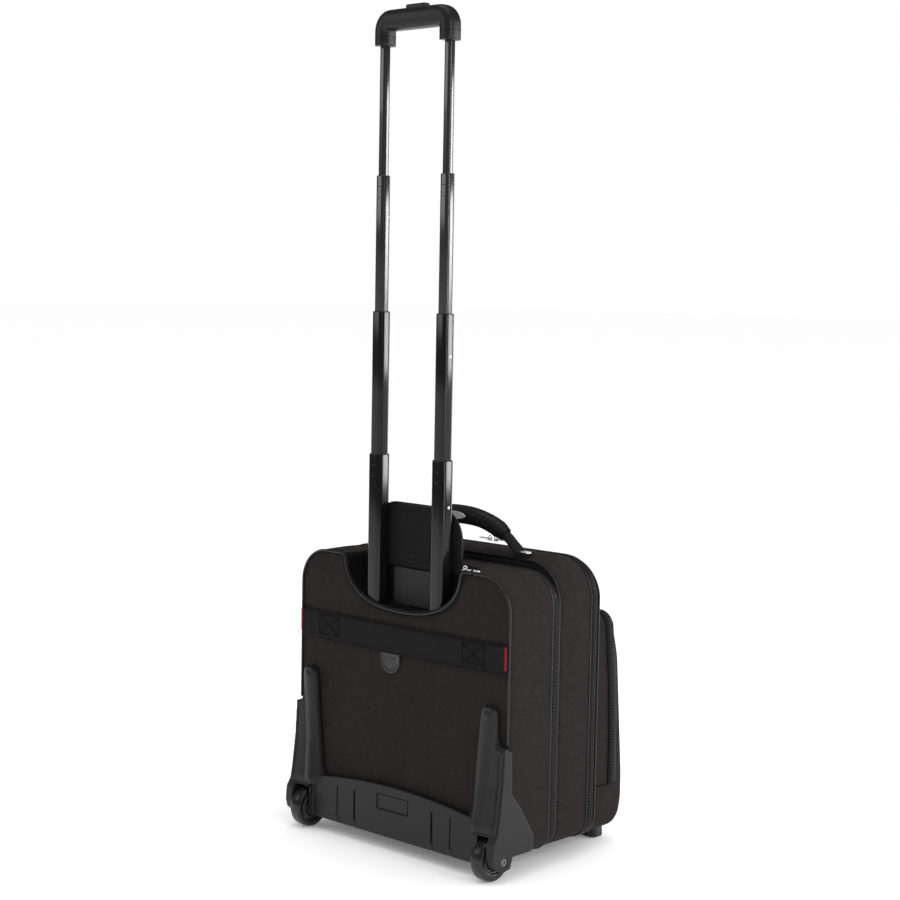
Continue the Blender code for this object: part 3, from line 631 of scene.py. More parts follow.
def above(points, limit):
    """The first unbroken run of a closed outline's points that lie above a height, in order."""
    flags = [point[1] > limit for point in points]
    start = next(i for i in range(len(flags)) if flags[i] and not flags[i - 1])
    from_start = points[start:] + points[:start]
    stop = next(i for i in range(len(flags)) if from_start[i][1] <= limit)
    return from_start[:stop]


def line_path(line, y, inset):
    """An outline's points at depth y, moved in by inset."""
    return [(x - nx * inset, y, z - nz * inset) for x, z, nx, nz in line]


def cut_curve(grow=0.0, steps=40, top=REAR_TOP):
    """The U of the back opening from its +X end down and round to its -X end."""
    half, depth = CUT_HALF + grow, CUT_DEPTH + grow
    points = []
    for i in range(steps + 1):
        angle = math.pi * i / steps
        c, s = math.cos(angle), math.sin(angle)
        x = half * squared(c, 2 / CUT_POWER)
        points.append((x, top - depth * abs(s) ** (2 / CUT_POWER)))
    return points


def rim_curve(grow=0.0):
    """The U with its two ends rounded over into the top edge."""
    turn = arc(CUT_HALF + SHOULDER, REAR_TOP - SHOULDER, SHOULDER - grow, 90, 180, 5)
    middle = [p for p in cut_curve(grow) if p[1] < REAR_TOP - SHOULDER - 0.002]
    return ([(CUT_HALF + SHOULDER + 0.012, REAR_TOP + grow)] + turn + middle
            + [(-x, z) for x, z in reversed(turn)] + [(-CUT_HALF - SHOULDER - 0.012, REAR_TOP + grow)])


# ---------------------------------------------------------------- rear section
def edge_tuck(t, reach=0.07):
    """How far a gusset pulls in at its two seams: 1 on the seam, 0 a little way in."""
    near = min(t, 1 - t)
    return max(0.0, 1 - near / reach) ** 2


def rear_offset(y):
    t = (y - REAR_FRONT_Y) / (PANEL_EDGE_Y - REAR_FRONT_Y)
    flange = 0.0026 * (1 - smooth_step((y - 0.0340) / 0.0020))
    return lambda nx, nz: (0.0014 * math.sin(math.pi * t) * (abs(nx) + 0.4 * max(nz, 0))
                           - 0.0016 * edge_tuck(t) - flange * (1 - 0.6 * max(0.0, nz)))


def in_cut(p):
    return abs(p.x) < CUT_HALF and p.z > 0.390 and p.y > 0.0784


rows = [ring(REAR_LINE, y, rear_offset(y), 0.0006)
        for y in [REAR_FRONT_Y, 0.0290, 0.0325, 0.0340, 0.0350, 0.0360, 0.0372] + spread(0.0400, 0.0784, 10)
        + spread(0.0820, 0.1120, 8) + [0.1150, 0.1175, PANEL_EDGE_Y]]
skin("rear_gusset", rows, "nylon", "rear_case", (0, 0.07, 0.2), closed=True, cut=in_cut,
     stands_for=("rear_shell",))


def top_of_panel(x):
    """Height of the back panel's upper edge, cut-out included."""
    reach = abs(x)
    flat = REAR_HALF - REAR_CORNER
    if reach >= flat:
        return REAR_TOP - REAR_CORNER + math.sqrt(max(0.0, REAR_CORNER ** 2 - (reach - flat) ** 2))
    if reach > CUT_HALF:
        short = max(0.0, CUT_HALF + SHOULDER - reach)
        return REAR_TOP - SHOULDER + math.sqrt(max(0.0, SHOULDER ** 2 - short ** 2))
    return REAR_TOP - CUT_DEPTH * (1 - (reach / CUT_HALF) ** CUT_POWER) ** (1 / CUT_POWER)


def bottom_of_panel(x):
    reach = abs(x)
    flat = REAR_HALF - LOW_CORNER
    if reach <= flat:
        return BOTTOM
    return BOTTOM + LOW_CORNER - math.sqrt(max(0.0, LOW_CORNER ** 2 - (reach - flat) ** 2))


def panel_columns():
    half = []
    for i in range(1, 25):
        half.append(CUT_HALF * abs(math.sin(math.pi / 2 * i / 24)) ** (2 / CUT_POWER))
    half = [x for x in half if x < CUT_HALF - 0.00002]
    half += [CUT_HALF + 0.0001, CUT_HALF + 0.0006, CUT_HALF + 0.0015, CUT_HALF + 0.003, CUT_HALF + 0.0055,
             CUT_HALF + SHOULDER]
    half += spread(0.126, 0.148, 4)
    half += [REAR_HALF - REAR_CORNER + REAR_CORNER * math.sin(math.pi / 2 * i / 14) for i in range(15)]
    return [-x for x in reversed(half)] + [0.0] + half


def panel_depth(x, z):
    """The back panel: padded, pulled in round its piping and round the cut-out."""
    side = min(1.0, (REAR_HALF - abs(x)) / 0.030)
    high = min(1.0, max(0.0, top_of_panel(x) - z) / 0.030)
    low = min(1.0, max(0.0, z - BOTTOM) / 0.030)
    full = math.sin(math.pi / 2 * max(0.0, side)) * math.sin(math.pi / 2 * high) * math.sin(math.pi / 2 * low)
    soft = (0.00045 * noise.noise(Vector((x * 9, 3.1, z * 9)))
            + 0.0002 * noise.noise(Vector((x * 31, 7.7, z * 31))))
    return PANEL_EDGE_Y + 0.0026 * full + soft * full


rows = []
for x in panel_columns():
    low, high = bottom_of_panel(x), top_of_panel(x)
    rows.append([(x, panel_depth(x, z), z) for z in (low + (high - low) * t for t in spread(0, 1, 60))])
skin("back_panel", rows, "nylon", "rear_case", (0, 0.05, 0.2), 0.0004)

# Piping round the back edge, above the guard's legs, and binding round the cut-out.
GUARD_SHOULDER = 0.1815
back_edge = line_path(above(REAR_LINE, GUARD_SHOULDER), 0.1207, 0.0006)
for side, s in SIDES:
    path = [p for p in back_edge if s * p[0] > CUT_HALF + SHOULDER - 0.002]
    cord("piping_" + side, path, 0.0017, "piping", "rear_case", stands_for=("back_piping_" + side,))
for name, y, grow, radius, material, nodes in (
        ("rim_binding", 0.1216, 0, 0.0020, "piping", ("cutout_binding",)),
        ("rim_binding_inner", 0.1213, -0.0020, 0.0016, "nylon_dark", ()),
        ("rim_binding_outer", 0.1212, 0.0040, 0.0013, "nylon_dark", ())):
    cord(name, [(x, y, z) for x, z in rim_curve(grow)], radius, material, "rear_case", stands_for=nodes)

# Recess that the trolley handle comes out of: side walls, front wall and its rolled lip.
rows = []
for y, grow in ((0.1205, -0.0004), (0.1190, -0.0016), (0.1150, -0.0010), (0.1080, -0.0006), (0.1000, -0.0010),
                (0.0930, -0.0018), (RECESS_Y, -0.0034)):
    rows.append([Vector((x, y + 0.0003 * noise.noise(Vector((x * 30, y * 30, z * 30))), z))
                 for x, z in cut_curve(grow, 48, REAR_TOP - 0.001)])
walls = skin("recess_sides", rows, "lining", "rear_case", (0, 0.105, 0.2), 0.0016,
             stands_for=("recess_tray",))
carved(walls, [((s * TUBE_X - 0.0125, TUBE_Y - 0.0120, 0.325), (s * TUBE_X + 0.0125, TUBE_Y + 0.0116, 0.395))
               for _, s in SIDES])
rows = []
for i in range(41):
    x = -0.1085 + 0.217 * i / 40
    low = REAR_TOP - (CUT_DEPTH - 0.002) * (1 - (abs(x) / 0.1092) ** CUT_POWER) ** (1 / CUT_POWER)
    column = [Vector((x, RECESS_Y - 0.0003, low + (0.3975 - low) * t)) for t in spread(0, 1, 16)]
    column += [Vector((x, RECESS_Y - 0.0005 - 0.005 * (1 - math.cos(a)), 0.3975 + 0.0050 * math.sin(a)))
               for a in spread(0.3, math.pi, 7)]
    rows.append(column)
skin("recess_wall", rows, "lining", "rear_case", (0, 0.084, 0.30), 0.0008)


def cushion(name, shape, low_y, high_y, material, body, edge, crown, stands_for, seam=0.0):
    """A closed pad: an outline in XZ, full in the middle and thinner round its edge."""
    centre = (sum(p[0] for p in shape) / len(shape), sum(p[1] for p in shape) / len(shape))
    middle = (low_y + high_y) / 2
    half = (high_y - low_y) / 2

    def loop(share, y_sign):
        row = []
        for x, z in shape:
            px = centre[0] + (x - centre[0]) * share
            pz = centre[1] + (z - centre[1]) * share
            gap = math.hypot(x - px, z - pz)
            t = min(1.0, gap / edge)
            thick = half * (0.35 + 0.65 * math.sqrt(max(0.0, 1 - (1 - t) ** 2)))
            thick += crown * (1 - share) ** 0.7
            if seam and abs(gap - seam) < 0.0016:
                thick -= 0.0007 * (1 - abs(gap - seam) / 0.0016)
            thick += 0.0003 * noise.noise(Vector((px * 40, y_sign * 3.0, pz * 40))) * min(1.0, gap / 0.01)
            row.append(Vector((px, middle + y_sign * thick, pz)))
        return row

    shares = [1.0, 0.995, 0.985, 0.97, 0.955, 0.94, 0.92, 0.90, 0.86] + spread(0.80, 0.04, 10)
    rows = [loop(s, -1) for s in reversed(shares)] + [loop(s, 1) for s in shares]
    piece = add(name, solid(rows), material, body, stands_for=stands_for, sharp=70)
    return piece


def rounded_shape(half, low, high, radius, steps=8, fill=10, low_radius=None):
    low_radius = radius if low_radius is None else low_radius
    shape = arc(half - radius, high - radius, radius, 0, 90, steps)
    shape += [(x, high) for x in spread(half - radius, -half + radius, fill)[1:-1]]
    shape += arc(-half + radius, high - radius, radius, 90, 180, steps)
    shape += [(-half, z) for z in spread(high - radius, low + low_radius, fill)[1:-1]]
    shape += arc(-half + low_radius, low + low_radius, low_radius, 180, 270, steps)
    shape += [(x, low) for x in spread(-half + low_radius, half - low_radius, fill)[1:-1]]
    shape += arc(half - low_radius, low + low_radius, low_radius, 270, 360, steps)
    shape += [(half, z) for z in spread(low + low_radius, high - radius, fill)[1:-1]]
    return shape


# Soft grey panel between the tubes, below the flap's crease.
pad = cushion("recess_pad", rounded_shape(0.0455, 0.3350, 0.3898, 0.003), 0.0893, 0.0914, "pad_cloth",
              "rear_case", edge=0.0025, crown=0.0003, stands_for=("recess_panel",))
inflated(pad, 0.0012, 4.0, 0.0008, "pad_cloth")

# The trolley flap: one pad that stands up from the recess to above the case top.
FLAP_LOOK = rounded_shape(0.0830, 0.3905, 0.4780, 0.043, 12, 12, 0.004)
cushion("flap_pad", FLAP_LOOK, 0.0879, 0.0929, "nylon_dark",
        ("rear_case", "flap", (0, 0.0909, 0.4000), (0, 0.0909, 0.4100)),
        edge=0.005, crown=0.0003, stands_for=("trolley_flap",), seam=0.008)
edge_path = above(FLAP_LOOK, 0.4125)
cord("flap_binding", [(x * 0.997, 0.0905, z - 0.0004) for x, z in edge_path], 0.0019, "piping", "flap")
inner = [(x * 0.925, 0.0932, 0.4350 + (z - 0.4350) * 0.80) for x, z in edge_path]
add("flap_stitching", stitches(inner), "thread", "flap")

# ---------------------------------------------------------------- luggage strap
STRAP_LOW, STRAP_HIGH, STRAP_HALF = 0.2750, 0.3160, 0.1962


def strap_y(x):
    return 0.1237 + 0.0008 * (1 - (x / 0.196) ** 2)


def strap_dip(x):
    """How far the strap hangs down between its ends."""
    return 0.0018 * (1 - (x / STRAP_HALF) ** 2)


def on_strap(points):
    return [(x, strap_y(x) + 0.0011, z - strap_dip(x)) for x, z in points]


rows = []
for x in spread(-STRAP_HALF, STRAP_HALF, 80):
    wave = 0.0003 * noise.noise(Vector((x * 20, 0, 0)))
    row = []
    for z, y in ((STRAP_LOW, -0.0006), (STRAP_LOW, 0.0002), (STRAP_LOW + 0.0006, 0.0009), (0.2800, 0.0010),
                 (0.2880, 0.0008), (0.2955, 0.0009), (0.3030, 0.0008), (0.3110, 0.0010),
                 (STRAP_HIGH - 0.0006, 0.0009), (STRAP_HIGH, 0.0002), (STRAP_HIGH, -0.0006),
                 (0.3110, -0.0009), (0.2955, -0.0009), (0.2800, -0.0009)):
        row.append((x, strap_y(x) + y + wave, z - strap_dip(x)))
    rows.append(row)
add("luggage_strap", solid(rows), "tape", "rear_case", stands_for=("back_strap",), sharp=60)
box_parts = []
for _, s in SIDES:
    x0, x1, z0, z1 = s * 0.1185, s * 0.1580, 0.2835, 0.3105
    corners = [(x0, z0), (x1, z0), (x1, z1), (x0, z1), (x0, z0)]
    for a, b in list(zip(corners, corners[1:])) + [((x0, z0), (x1, z1)), ((x0, z1), (x1, z0))]:
        line = [(a[0] + (b[0] - a[0]) * t, a[1] + (b[1] - a[1]) * t) for t in spread(0, 1, 6)]
        box_parts.append(stitches(on_strap(line), 0.0036, 0.0029, 0.00045))
for z in (STRAP_LOW + 0.0022, STRAP_HIGH - 0.0022):
    line = [(x, z) for x in spread(-0.1935, 0.1935, 40)]
    box_parts.append(stitches(on_strap(line), 0.0036, 0.0027, 0.00032))
add("strap_stitching", merged(box_parts), "seam_shadow", "rear_case", slot="webbing")

for side, s in SIDES:
    rows = []
    for z in spread(0.2825, 0.3135, 8):
        loop = []
        for x, y in band_profile(0.0042, 0.0013):
            loop.append(Vector((s * 0.1955 + x, 0.1249 + y - 0.0011 * max(0.0, s * x) / 0.003, z)))
        rows.append(loop)
    add("red_tag_" + side, solid(rows), "red", "rear_case", stands_for=("side_tag_" + side,))

# Rubber tab under the strap: a raised rim round a slightly hollow blank face.
TAB_X, TAB_HALF, TAB_TOP, TAB_ROOT = 0.0165, 0.0182, 0.2765, 0.2700
tab_outline = [(TAB_X + TAB_HALF, TAB_TOP), (TAB_X + TAB_HALF, TAB_ROOT)]
tab_outline += arc(TAB_X, 0.2640, TAB_HALF, 0, -180, 24)
tab_outline += [(TAB_X - TAB_HALF, TAB_ROOT), (TAB_X - TAB_HALF, TAB_TOP)]
tab_outline += [(TAB_X - TAB_HALF * t, TAB_TOP) for t in (0.5, 0, -0.5)]
rows = []
for grow, y in ((0.0, 0.1222), (0.0, 0.1240), (-0.0006, 0.1248), (-0.0016, 0.1251), (-0.0026, 0.1248),
                (-0.0032, 0.1243), (-0.0060, 0.1242), (-0.0110, 0.1244), (-0.0160, 0.1245)):
    rows.append([(TAB_X + (x - TAB_X) * (TAB_HALF + grow) / TAB_HALF, y,
                  TAB_ROOT + (z - TAB_ROOT) * (TAB_HALF + grow) / TAB_HALF if z < TAB_ROOT else
                  min(z, TAB_TOP + grow)) for x, z in tab_outline])
add("rubber_tab", solid(rows), "rubber_pad", "rear_case", stands_for=("strap_tab",), sharp=60)


# ---------------------------------------------------------------- base guard, wheels and axles
GUARD_FACE = 0.1325
POST_X, POST_Z, POST_R = 0.1722, 0.2205, 0.0134
RIDGE_WIDE, GROOVE_X = 0.0255, 0.1932
LEG_LOW, LEG_HIGH = 0.0655, 0.2334
RIB_X = (-0.1095, -0.075, 0.075, 0.1095)
LEG_SURFACE = [(0.2200, 0.1288), (0.1760, 0.1288), (0.1300, 0.1310), (0.0850, 0.1365), (0.0680, 0.1395),
               (0.0570, 0.1465), (0.0380, 0.1480)]


def leg_y(z):
    """Depth of the leg's rear face at a height."""
    for (z0, y0), (z1, y1) in zip(LEG_SURFACE, LEG_SURFACE[1:]):
        if z1 <= z <= z0:
            return y0 + (y1 - y0) * (z0 - z) / (z0 - z1)
    return LEG_SURFACE[0][1]


def ridge_start(z):
    return 0.1440 + (z - 0.070) * 0.0975


def leg_inner(z):
    """Inner edge of a leg, with the fillet that carries it into the arch."""
    if z > 0.2228:
        return POST_X - math.sqrt(max(0.0, POST_R ** 2 - (z - POST_Z) ** 2))
    return ridge_start(z) - 0.0125 * max(0.0, 1 - (z - 0.0755) / 0.020) ** 2.2


def leg_outer(z):
    """Outer edge of a leg: the post's own side, then the shoulder, then the wing's edge."""
    if z > POST_Z:
        return POST_X + math.sqrt(max(0.0, POST_R ** 2 - (z - POST_Z) ** 2))
    return POST_X + POST_R + (0.1988 - POST_X - POST_R) * smooth_step((0.1860 - z) / 0.0120)


def leg_surface(x, z):
    """Depth of the moulded face: a rounded ridge on the inner half, then a flat band with a groove."""
    inner, outer = leg_inner(z), leg_outer(z)
    start = ridge_start(z)
    base = 0.1296 + (leg_y(z) - 0.1288) * smooth_step((x - start) / 0.014)
    across = (x - start) / RIDGE_WIDE
    relief = 0.0009
    if 0 < across < 1:
        relief += 0.0032 * math.sin(math.pi * across) ** 0.8
    elif across >= 1:
        relief += 0.0006 * smooth_step((across - 1) / 0.12)
    if z < 0.172:
        relief -= 0.0013 * math.exp(-((x - GROOVE_X) / 0.0007) ** 2)
    relief *= smooth_step((z - LEG_LOW) / 0.0100)
    edge = min(x - inner, outer - x, z - LEG_LOW, LEG_HIGH + 0.0002 - z)
    return base - 0.0026 + (relief + 0.0026) * math.sqrt(smooth_step(edge / 0.0016))


def leg_face(s):
    """One leg's moulded face, standing a little proud of the guard."""
    rows = []
    top = [0.2300, 0.2318, 0.2328, LEG_HIGH]
    for z in [LEG_LOW, 0.0659, 0.0665, 0.0672] + spread(0.0690, 0.2280, 70) + top:
        inner, outer = leg_inner(z), leg_outer(z)
        places = [inner, inner + 0.0003, inner + 0.0008, inner + 0.0016]
        places += [ridge_start(z) + RIDGE_WIDE * t for t in spread(0.10, 1.15, 16)]
        places += [GROOVE_X + gap for gap in (-0.0020, -0.0012, -0.0006, 0, 0.0006, 0.0012, 0.0020)]
        places += [outer - 0.0016, outer - 0.0008, outer - 0.0003, outer]
        places = sorted(min(outer, max(inner, x)) for x in places)
        front = [(s * x, leg_surface(x, z), z) for x in places]
        rows.append(front + [(s * outer, 0.1240, z), (s * inner, 0.1240, z)])
    return solid(rows)


def rib_under(x):
    """The small runner below each groove in the guard's back plate."""
    rows = []
    half = 0.0032
    for z in spread(0.0215, 0.0300, 5):
        rows.append([(x - half, 0.1270, z), (x + half, 0.1270, z), (x + half * 0.6, 0.1342, z),
                     (x - half * 0.6, 0.1342, z)])
    return solid(rows)


extras = [rib_under(x) for x in RIB_X]
rounded_copy("guard_moulding", "base_guard", extras, "guard", "rear_case", 0.0010, 3, 0.35)
# Near-black lines laid along the guard's grooves, on its back plate and down each leg: painted groove shade.
groove_shade = []
for x in RIB_X:
    groove = [(x, GUARD_FACE - 0.0004, z) for z in spread(0.0225, 0.0715, 8)]
    groove_shade.append(sweep(groove, round_profile(0.0010, 8)))
for side, s in SIDES:
    add("guard_leg_" + side, leg_face(s), "guard", "rear_case", sharp=50)
    groove = [(s * GROOVE_X, leg_surface(GROOVE_X, z), z) for z in spread(0.0690, 0.1700, 30)]
    groove_shade.append(sweep(groove, round_profile(0.0005, 8), normals=[(0, 1, 0)] * len(groove)))
    boss = [(0.0, 0.1290), (0.0060, 0.1290), (0.0060, 0.1334), (0.0052, 0.1341), (0.0, 0.1343)]
    add("guard_boss_" + side, turned(boss, (s * POST_X, 0, 0.2215), "Y", 32), "guard", "rear_case")
add("guard_groove_shade", merged(groove_shade), "seam_shadow", "rear_case")
# A near-black outline round the label recess: painted shade of its edge.
label = [(x, 0.1324, z) for x, z in rounded_shape(0.0300, 0.0565, 0.0775, 0.002, 3, 4)]
add("label_edge_shade", sweep(label, round_profile(0.00055, 6), closed=True), "seam_shadow", "rear_case")

for side, s in SIDES:
    centre = (s * WHEEL_X, AXLE_Y, WHEEL_R)
    tyre = [(0.0187, -0.0072), (0.0200, -0.0090), (0.0225, -0.0096), (0.0255, -0.0098), (0.0276, -0.0092),
            (0.0288, -0.0076), (0.0293, -0.0052), (0.0294, -0.0024), (0.0295, 0.0), (0.0294, 0.0024),
            (0.0293, 0.0052), (0.0288, 0.0076), (0.0276, 0.0092), (0.0255, 0.0098), (0.0225, 0.0096),
            (0.0200, 0.0090), (0.0187, 0.0072)]
    add("tyre_tread_" + side, turned(tyre, centre, steps=96), "tyre", "wheel_" + side,
        stands_for=("tyre_" + side,), sharp=50)
    hub = [(0.0050, -0.0080), (0.0066, -0.0085), (0.0076, -0.0080), (0.0078, -0.0034), (0.0150, -0.0030),
           (0.0158, -0.0076), (0.0172, -0.0082), (0.0186, -0.0074), (0.0186, 0.0074), (0.0172, 0.0082),
           (0.0158, 0.0076), (0.0150, 0.0030), (0.0078, 0.0034), (0.0076, 0.0080), (0.0066, 0.0085),
           (0.0050, 0.0080)]
    parts = [turned(hub, centre, steps=72)]
    for k in range(6):
        a = math.pi / 3 * k
        along = Vector((0, math.cos(a), math.sin(a)))
        wide = Vector((0, -math.sin(a), math.cos(a)))
        rows = []
        for r, high in ((0.0070, 0.0072), (0.0110, 0.0066), (0.0156, 0.0068)):
            rows.append([Vector(centre) + along * r + wide * w + Vector((h, 0, 0))
                         for w, h in ((-0.0011, -high), (0.0011, -high), (0.0011, high), (-0.0011, high))])
        parts.append(solid(rows))
    add("hub_spokes_" + side, merged(parts), "hub", "wheel_" + side, stands_for=("hub_" + side,))
    bush = [(0.0026, -0.0084), (0.0044, -0.0086), (0.0048, -0.0080), (0.0048, 0.0080), (0.0044, 0.0086),
            (0.0026, 0.0084)]
    add("bearing_" + side, turned(bush, centre, steps=48), "steel", "wheel_" + side,
        stands_for=("wheel_bush_" + side,))
    head = [(0.0, 0.1608), (0.0023, 0.1608), (0.0023, 0.1988), (0.0054, 0.1990), (0.0057, 0.1997),
            (0.0052, 0.2004), (0.0040, 0.20055), (0.0024, 0.2006), (0.0021, 0.1994), (0.0, 0.1993)]
    screw = turned([(r, s * x) for r, x in head], (0, AXLE_Y, WHEEL_R), steps=36)
    add("axle_screw_" + side, screw, "dark_steel", "rear_case", stands_for=("axle_" + side,))


# ---------------------------------------------------------------- trolley handle
def rounded_rectangle(width, depth, radius, steps=6, cx=0.0, cy=0.0):
    w, d = width / 2 - radius, depth / 2 - radius
    return (arc(cx + w, cy + d, radius, 0, 90, steps) + arc(cx - w, cy + d, radius, 90, 180, steps)
            + arc(cx - w, cy - d, radius, 180, 270, steps) + arc(cx + w, cy - d, radius, 270, 360, steps))


def tube(x, width, depth, low, high, wall, radius):
    """A hollow drawn tube with a slightly turned-in top lip."""
    rows = []
    middle = (low + high) / 2
    for grow, z in ((0, low), (0, low + 0.002), (0, middle), (0, high - 0.0012), (-0.0003, high - 0.0004),
                    (-0.0007, high), (-wall, high), (-wall, high - 0.002), (-wall, middle), (-wall, low)):
        section = rounded_rectangle(width + 2 * grow, depth + 2 * grow, max(0.0006, radius + grow), 12, x,
                                    TUBE_Y)
        rows.append([(px, py, z) for px, py in section])
    return loft(rows, closed=True, looped=True)


def dash(x, y, z, nx, ny, long=0.0060, high=0.0012):
    """A short pressed mark in a tube's face."""
    across = Vector((-ny, nx, 0))
    rows = []
    for t, size in ((-1, 0.15), (-0.8, 0.75), (-0.4, 1), (0, 1), (0.4, 1), (0.8, 0.75), (1, 0.15)):
        centre = Vector((x, y, z)) + across * (long / 2 * t)
        rows.append([centre + Vector((nx, ny, 0)) * 0.00025 * size * math.cos(a)
                     + Vector((0, 0, 1)) * high / 2 * size * math.sin(a)
                     for a in (math.radians(d) for d in range(0, 360, 45))])
    return solid(rows)


TUBE_ROUNDING = {1: 0.0068, 2: 0.0060, 3: 0.0052, 4: 0.0042}
STAGES = {1: (0.0240, 0.0230, 0.2830, 0.5450), 2: (0.0205, 0.0195, 0.5100, 0.7410),
          3: (0.0165, 0.0155, 0.7080, 0.9255), 4: (0.0125, 0.0115, 0.8955, 1.1180)}
for number, (width, depth, low, high) in STAGES.items():
    for side, s in SIDES:
        x = s * TUBE_X
        part = tube(x, width, depth, low, high, 0.0010, TUBE_ROUNDING[number])
        add(f"tube_{number}_{side}", part, "anodised" if number < 3 else "anodised_upper", f"stage_{number}",
            stands_for=(f"stage_{number}_tube_{side}",), sharp=35)
        if number < 4:
            marks = []
            for drop in (0.015, 0.030):
                for nx, ny in ((0, 1), (0, -1)):
                    marks.append(dash(x + nx * width / 2, TUBE_Y + ny * depth / 2, high - drop, nx, ny))
            add(f"crimps_{number}_{side}", merged(marks), "tyre", f"stage_{number}", slot="tube_aluminium")
for side, s in SIDES:
    add("outer_tube_" + side, tube(s * TUBE_X, 0.0272, 0.0262, 0.0340, 0.3200, 0.0012, 0.0036), "anodised",
        "rear_case", stands_for=("fixed_tube_" + side,), sharp=35)

for stage, s, z in ((3, 1, 0.870), (2, -1, 0.684), (1, -1, 0.482)):
    x = s * TUBE_X - STAGES[stage][0] / 2
    dome = [(0.0, 0.0004), (0.0019, 0.0004), (0.0021, 0.0), (0.0015, -0.0003), (0.0, -0.00035)]
    add(f"lock_pin_{stage}", turned(dome, (x, TUBE_Y - 0.001, z), "X", 28), "nickel", f"stage_{stage}")


def grip_frames():
    """Centre, in-plane direction and half thickness of the grip from its -X collar to its +X collar."""
    turn, low, level = 0.0145, 1.0990, 1.1322
    frames = []
    for z in (low, low + 0.0010, low + 0.0060, low + 0.0120):
        frames.append((-TUBE_X, z, (-1, 0), 0.0112 - (0.0005 if z == low else 0)))
    for i in range(1, 15):
        a = math.radians(180 - 90 * i / 14)
        grow = smooth_step(i / 14)
        frames.append((-TUBE_X + turn + turn * math.cos(a), level - turn + turn * math.sin(a),
                       (math.cos(a), math.sin(a)), 0.0112 + 0.0029 * grow))
    for x in spread(-TUBE_X + turn, 0, 10)[1:]:
        frames.append((x, level, (0, 1), 0.0141 + 0.0002 * math.cos(x * 30)))
    back = [(-x, z, (-c, s), half) for x, z, (c, s), half in reversed(frames[:-1])]
    return frames + back


rows = []
for x, z, (c, s), half in grip_frames():
    ring_points = []
    for a in turns(36):
        u = squared(math.cos(a), 0.66) * half
        v = squared(math.sin(a), 0.66) * 0.0140
        ring_points.append(Vector((x + c * u, TUBE_Y + v, z + s * u)))
    rows.append(ring_points)
moulding = add("grip_moulding", solid(rows), "grip", "stage_4", stands_for=("grip", "grip_cover"), sharp=60)
carved(moulding, [((-0.0190, TUBE_Y - 0.0072, 1.1420), (0.0190, TUBE_Y + 0.0072, 1.1600))])
seam_parts = []
for _, s in SIDES:
    x, z, half = s * TUBE_X, 1.1115, 0.01135
    loop = [(x + half * squared(math.cos(a), 0.66),
             TUBE_Y + 0.0141 * squared(math.sin(a), 0.66), z)
            for a in turns(40)]
    seam_parts.append(sweep(loop, round_profile(0.00025, 6), closed=True))
add("grip_seams", merged(seam_parts), "seam_shadow", "stage_4", slot="grip_plastic")
rows = []
for grow, z in ((0, 1.1455), (0, 1.1494), (-0.0006, 1.1504), (-0.0018, 1.1509)):
    rows.append([(x, y, z) for x, y in rounded_rectangle(0.0364 + 2 * grow, 0.0128 + 2 * grow,
                                                                 0.0040 + grow, 8, 0, TUBE_Y)])
add("button_cap", solid(rows), "rubber_pad", "release", sharp=40)

coil = [(0.0030 * math.cos(a), TUBE_Y + 0.0030 * math.sin(a), 1.1208 + 0.0077 * a / (7 * math.pi))
        for a in spread(0, 7 * math.pi, 70)]
add("spring_coil", sweep(coil, round_profile(0.0004, 6)), "steel",
    ("stage_4", "release", (0, TUBE_Y, 1.1210), (0, TUBE_Y, 1.1282)), stands_for=("button_spring",))


# ---------------------------------------------------------------- zips
def zip_line(path, out, width, pitch, tooth, lift):
    """Tape and two staggered rows of coil teeth along a path. out is the direction that each point faces."""
    across = Vector((0, 1, 0))
    rows = []
    for p, o in zip(path, out):
        rows.append([Vector(p) + across * (width / 2 * t) + o * (0.0006 * b) for t, b in
                     ((-1, 0), (-0.6, 0.35), (-0.3, 0.2), (0, 0.1), (0.3, 0.2), (0.6, 0.35), (1, 0))])
    teeth = []
    w, h, d = tooth * 0.5, pitch * 0.31, 0.0006
    for k, (p, along, segment) in enumerate(along_curve(path, pitch, 0.5)):
        o = out[segment]
        shift = tooth * 0.45 * (1 if k % 2 else -1)
        c = p + across * shift + o * lift
        corners = [c + across * (w * m) + along * (h * n) for m, n in
                   ((-1, -0.7), (-0.7, -1), (0.7, -1), (1, -0.7), (1, 0.7), (0.7, 1), (-0.7, 1), (-1, 0.7))]
        low = [q - o * d for q in corners]
        high = [c + (q - c) * 0.72 + o * d for q in corners]
        teeth.append(solid([low, high]))
    return loft(rows), merged(teeth)


def outline_zip(name, line, y, inset, width, body, tooth, pitch):
    """A zip round an outline, above the case's bottom."""
    run = above(line, ZIP_FLOOR)
    out = [Vector((nx, 0, nz)) for _, _, nx, nz in run]
    tape, teeth = zip_line(line_path(run, y, inset), out, width, pitch, tooth, 0.0007)
    thicken(add(name + "_tape", tape, "zip_tape", body, inside=(0, y, 0.2), stands_for=(name,)), 0.0007)
    add(name + "_teeth", teeth, "coil", body)


# ---------------------------------------------------------------- middle seam
outline_zip("middle_zip", REAR_LINE, 0.0268, 0.0030, 0.0158, "rear_case", 0.0034, 0.0022)
cord("seam_piping_back", line_path(REAR_LINE, 0.0364, -0.0002), 0.0015, "piping", "rear_case", closed=True)
cord("seam_flange", line_path(REAR_LINE, 0.0336, 0.0022), 0.0010, "zip_tape", "rear_case", closed=True)


# ---------------------------------------------------------------- front section
def crown(y):
    """How far the front section's top falls below its outline at depth y: least between its seams."""
    t = (FRONT_BACK_Y - y) / (FRONT_BACK_Y - ZIP_Y)
    return -0.0085 * (1 - math.sin(math.pi * min(1.0, t * 0.9 + 0.08)) ** 0.6)


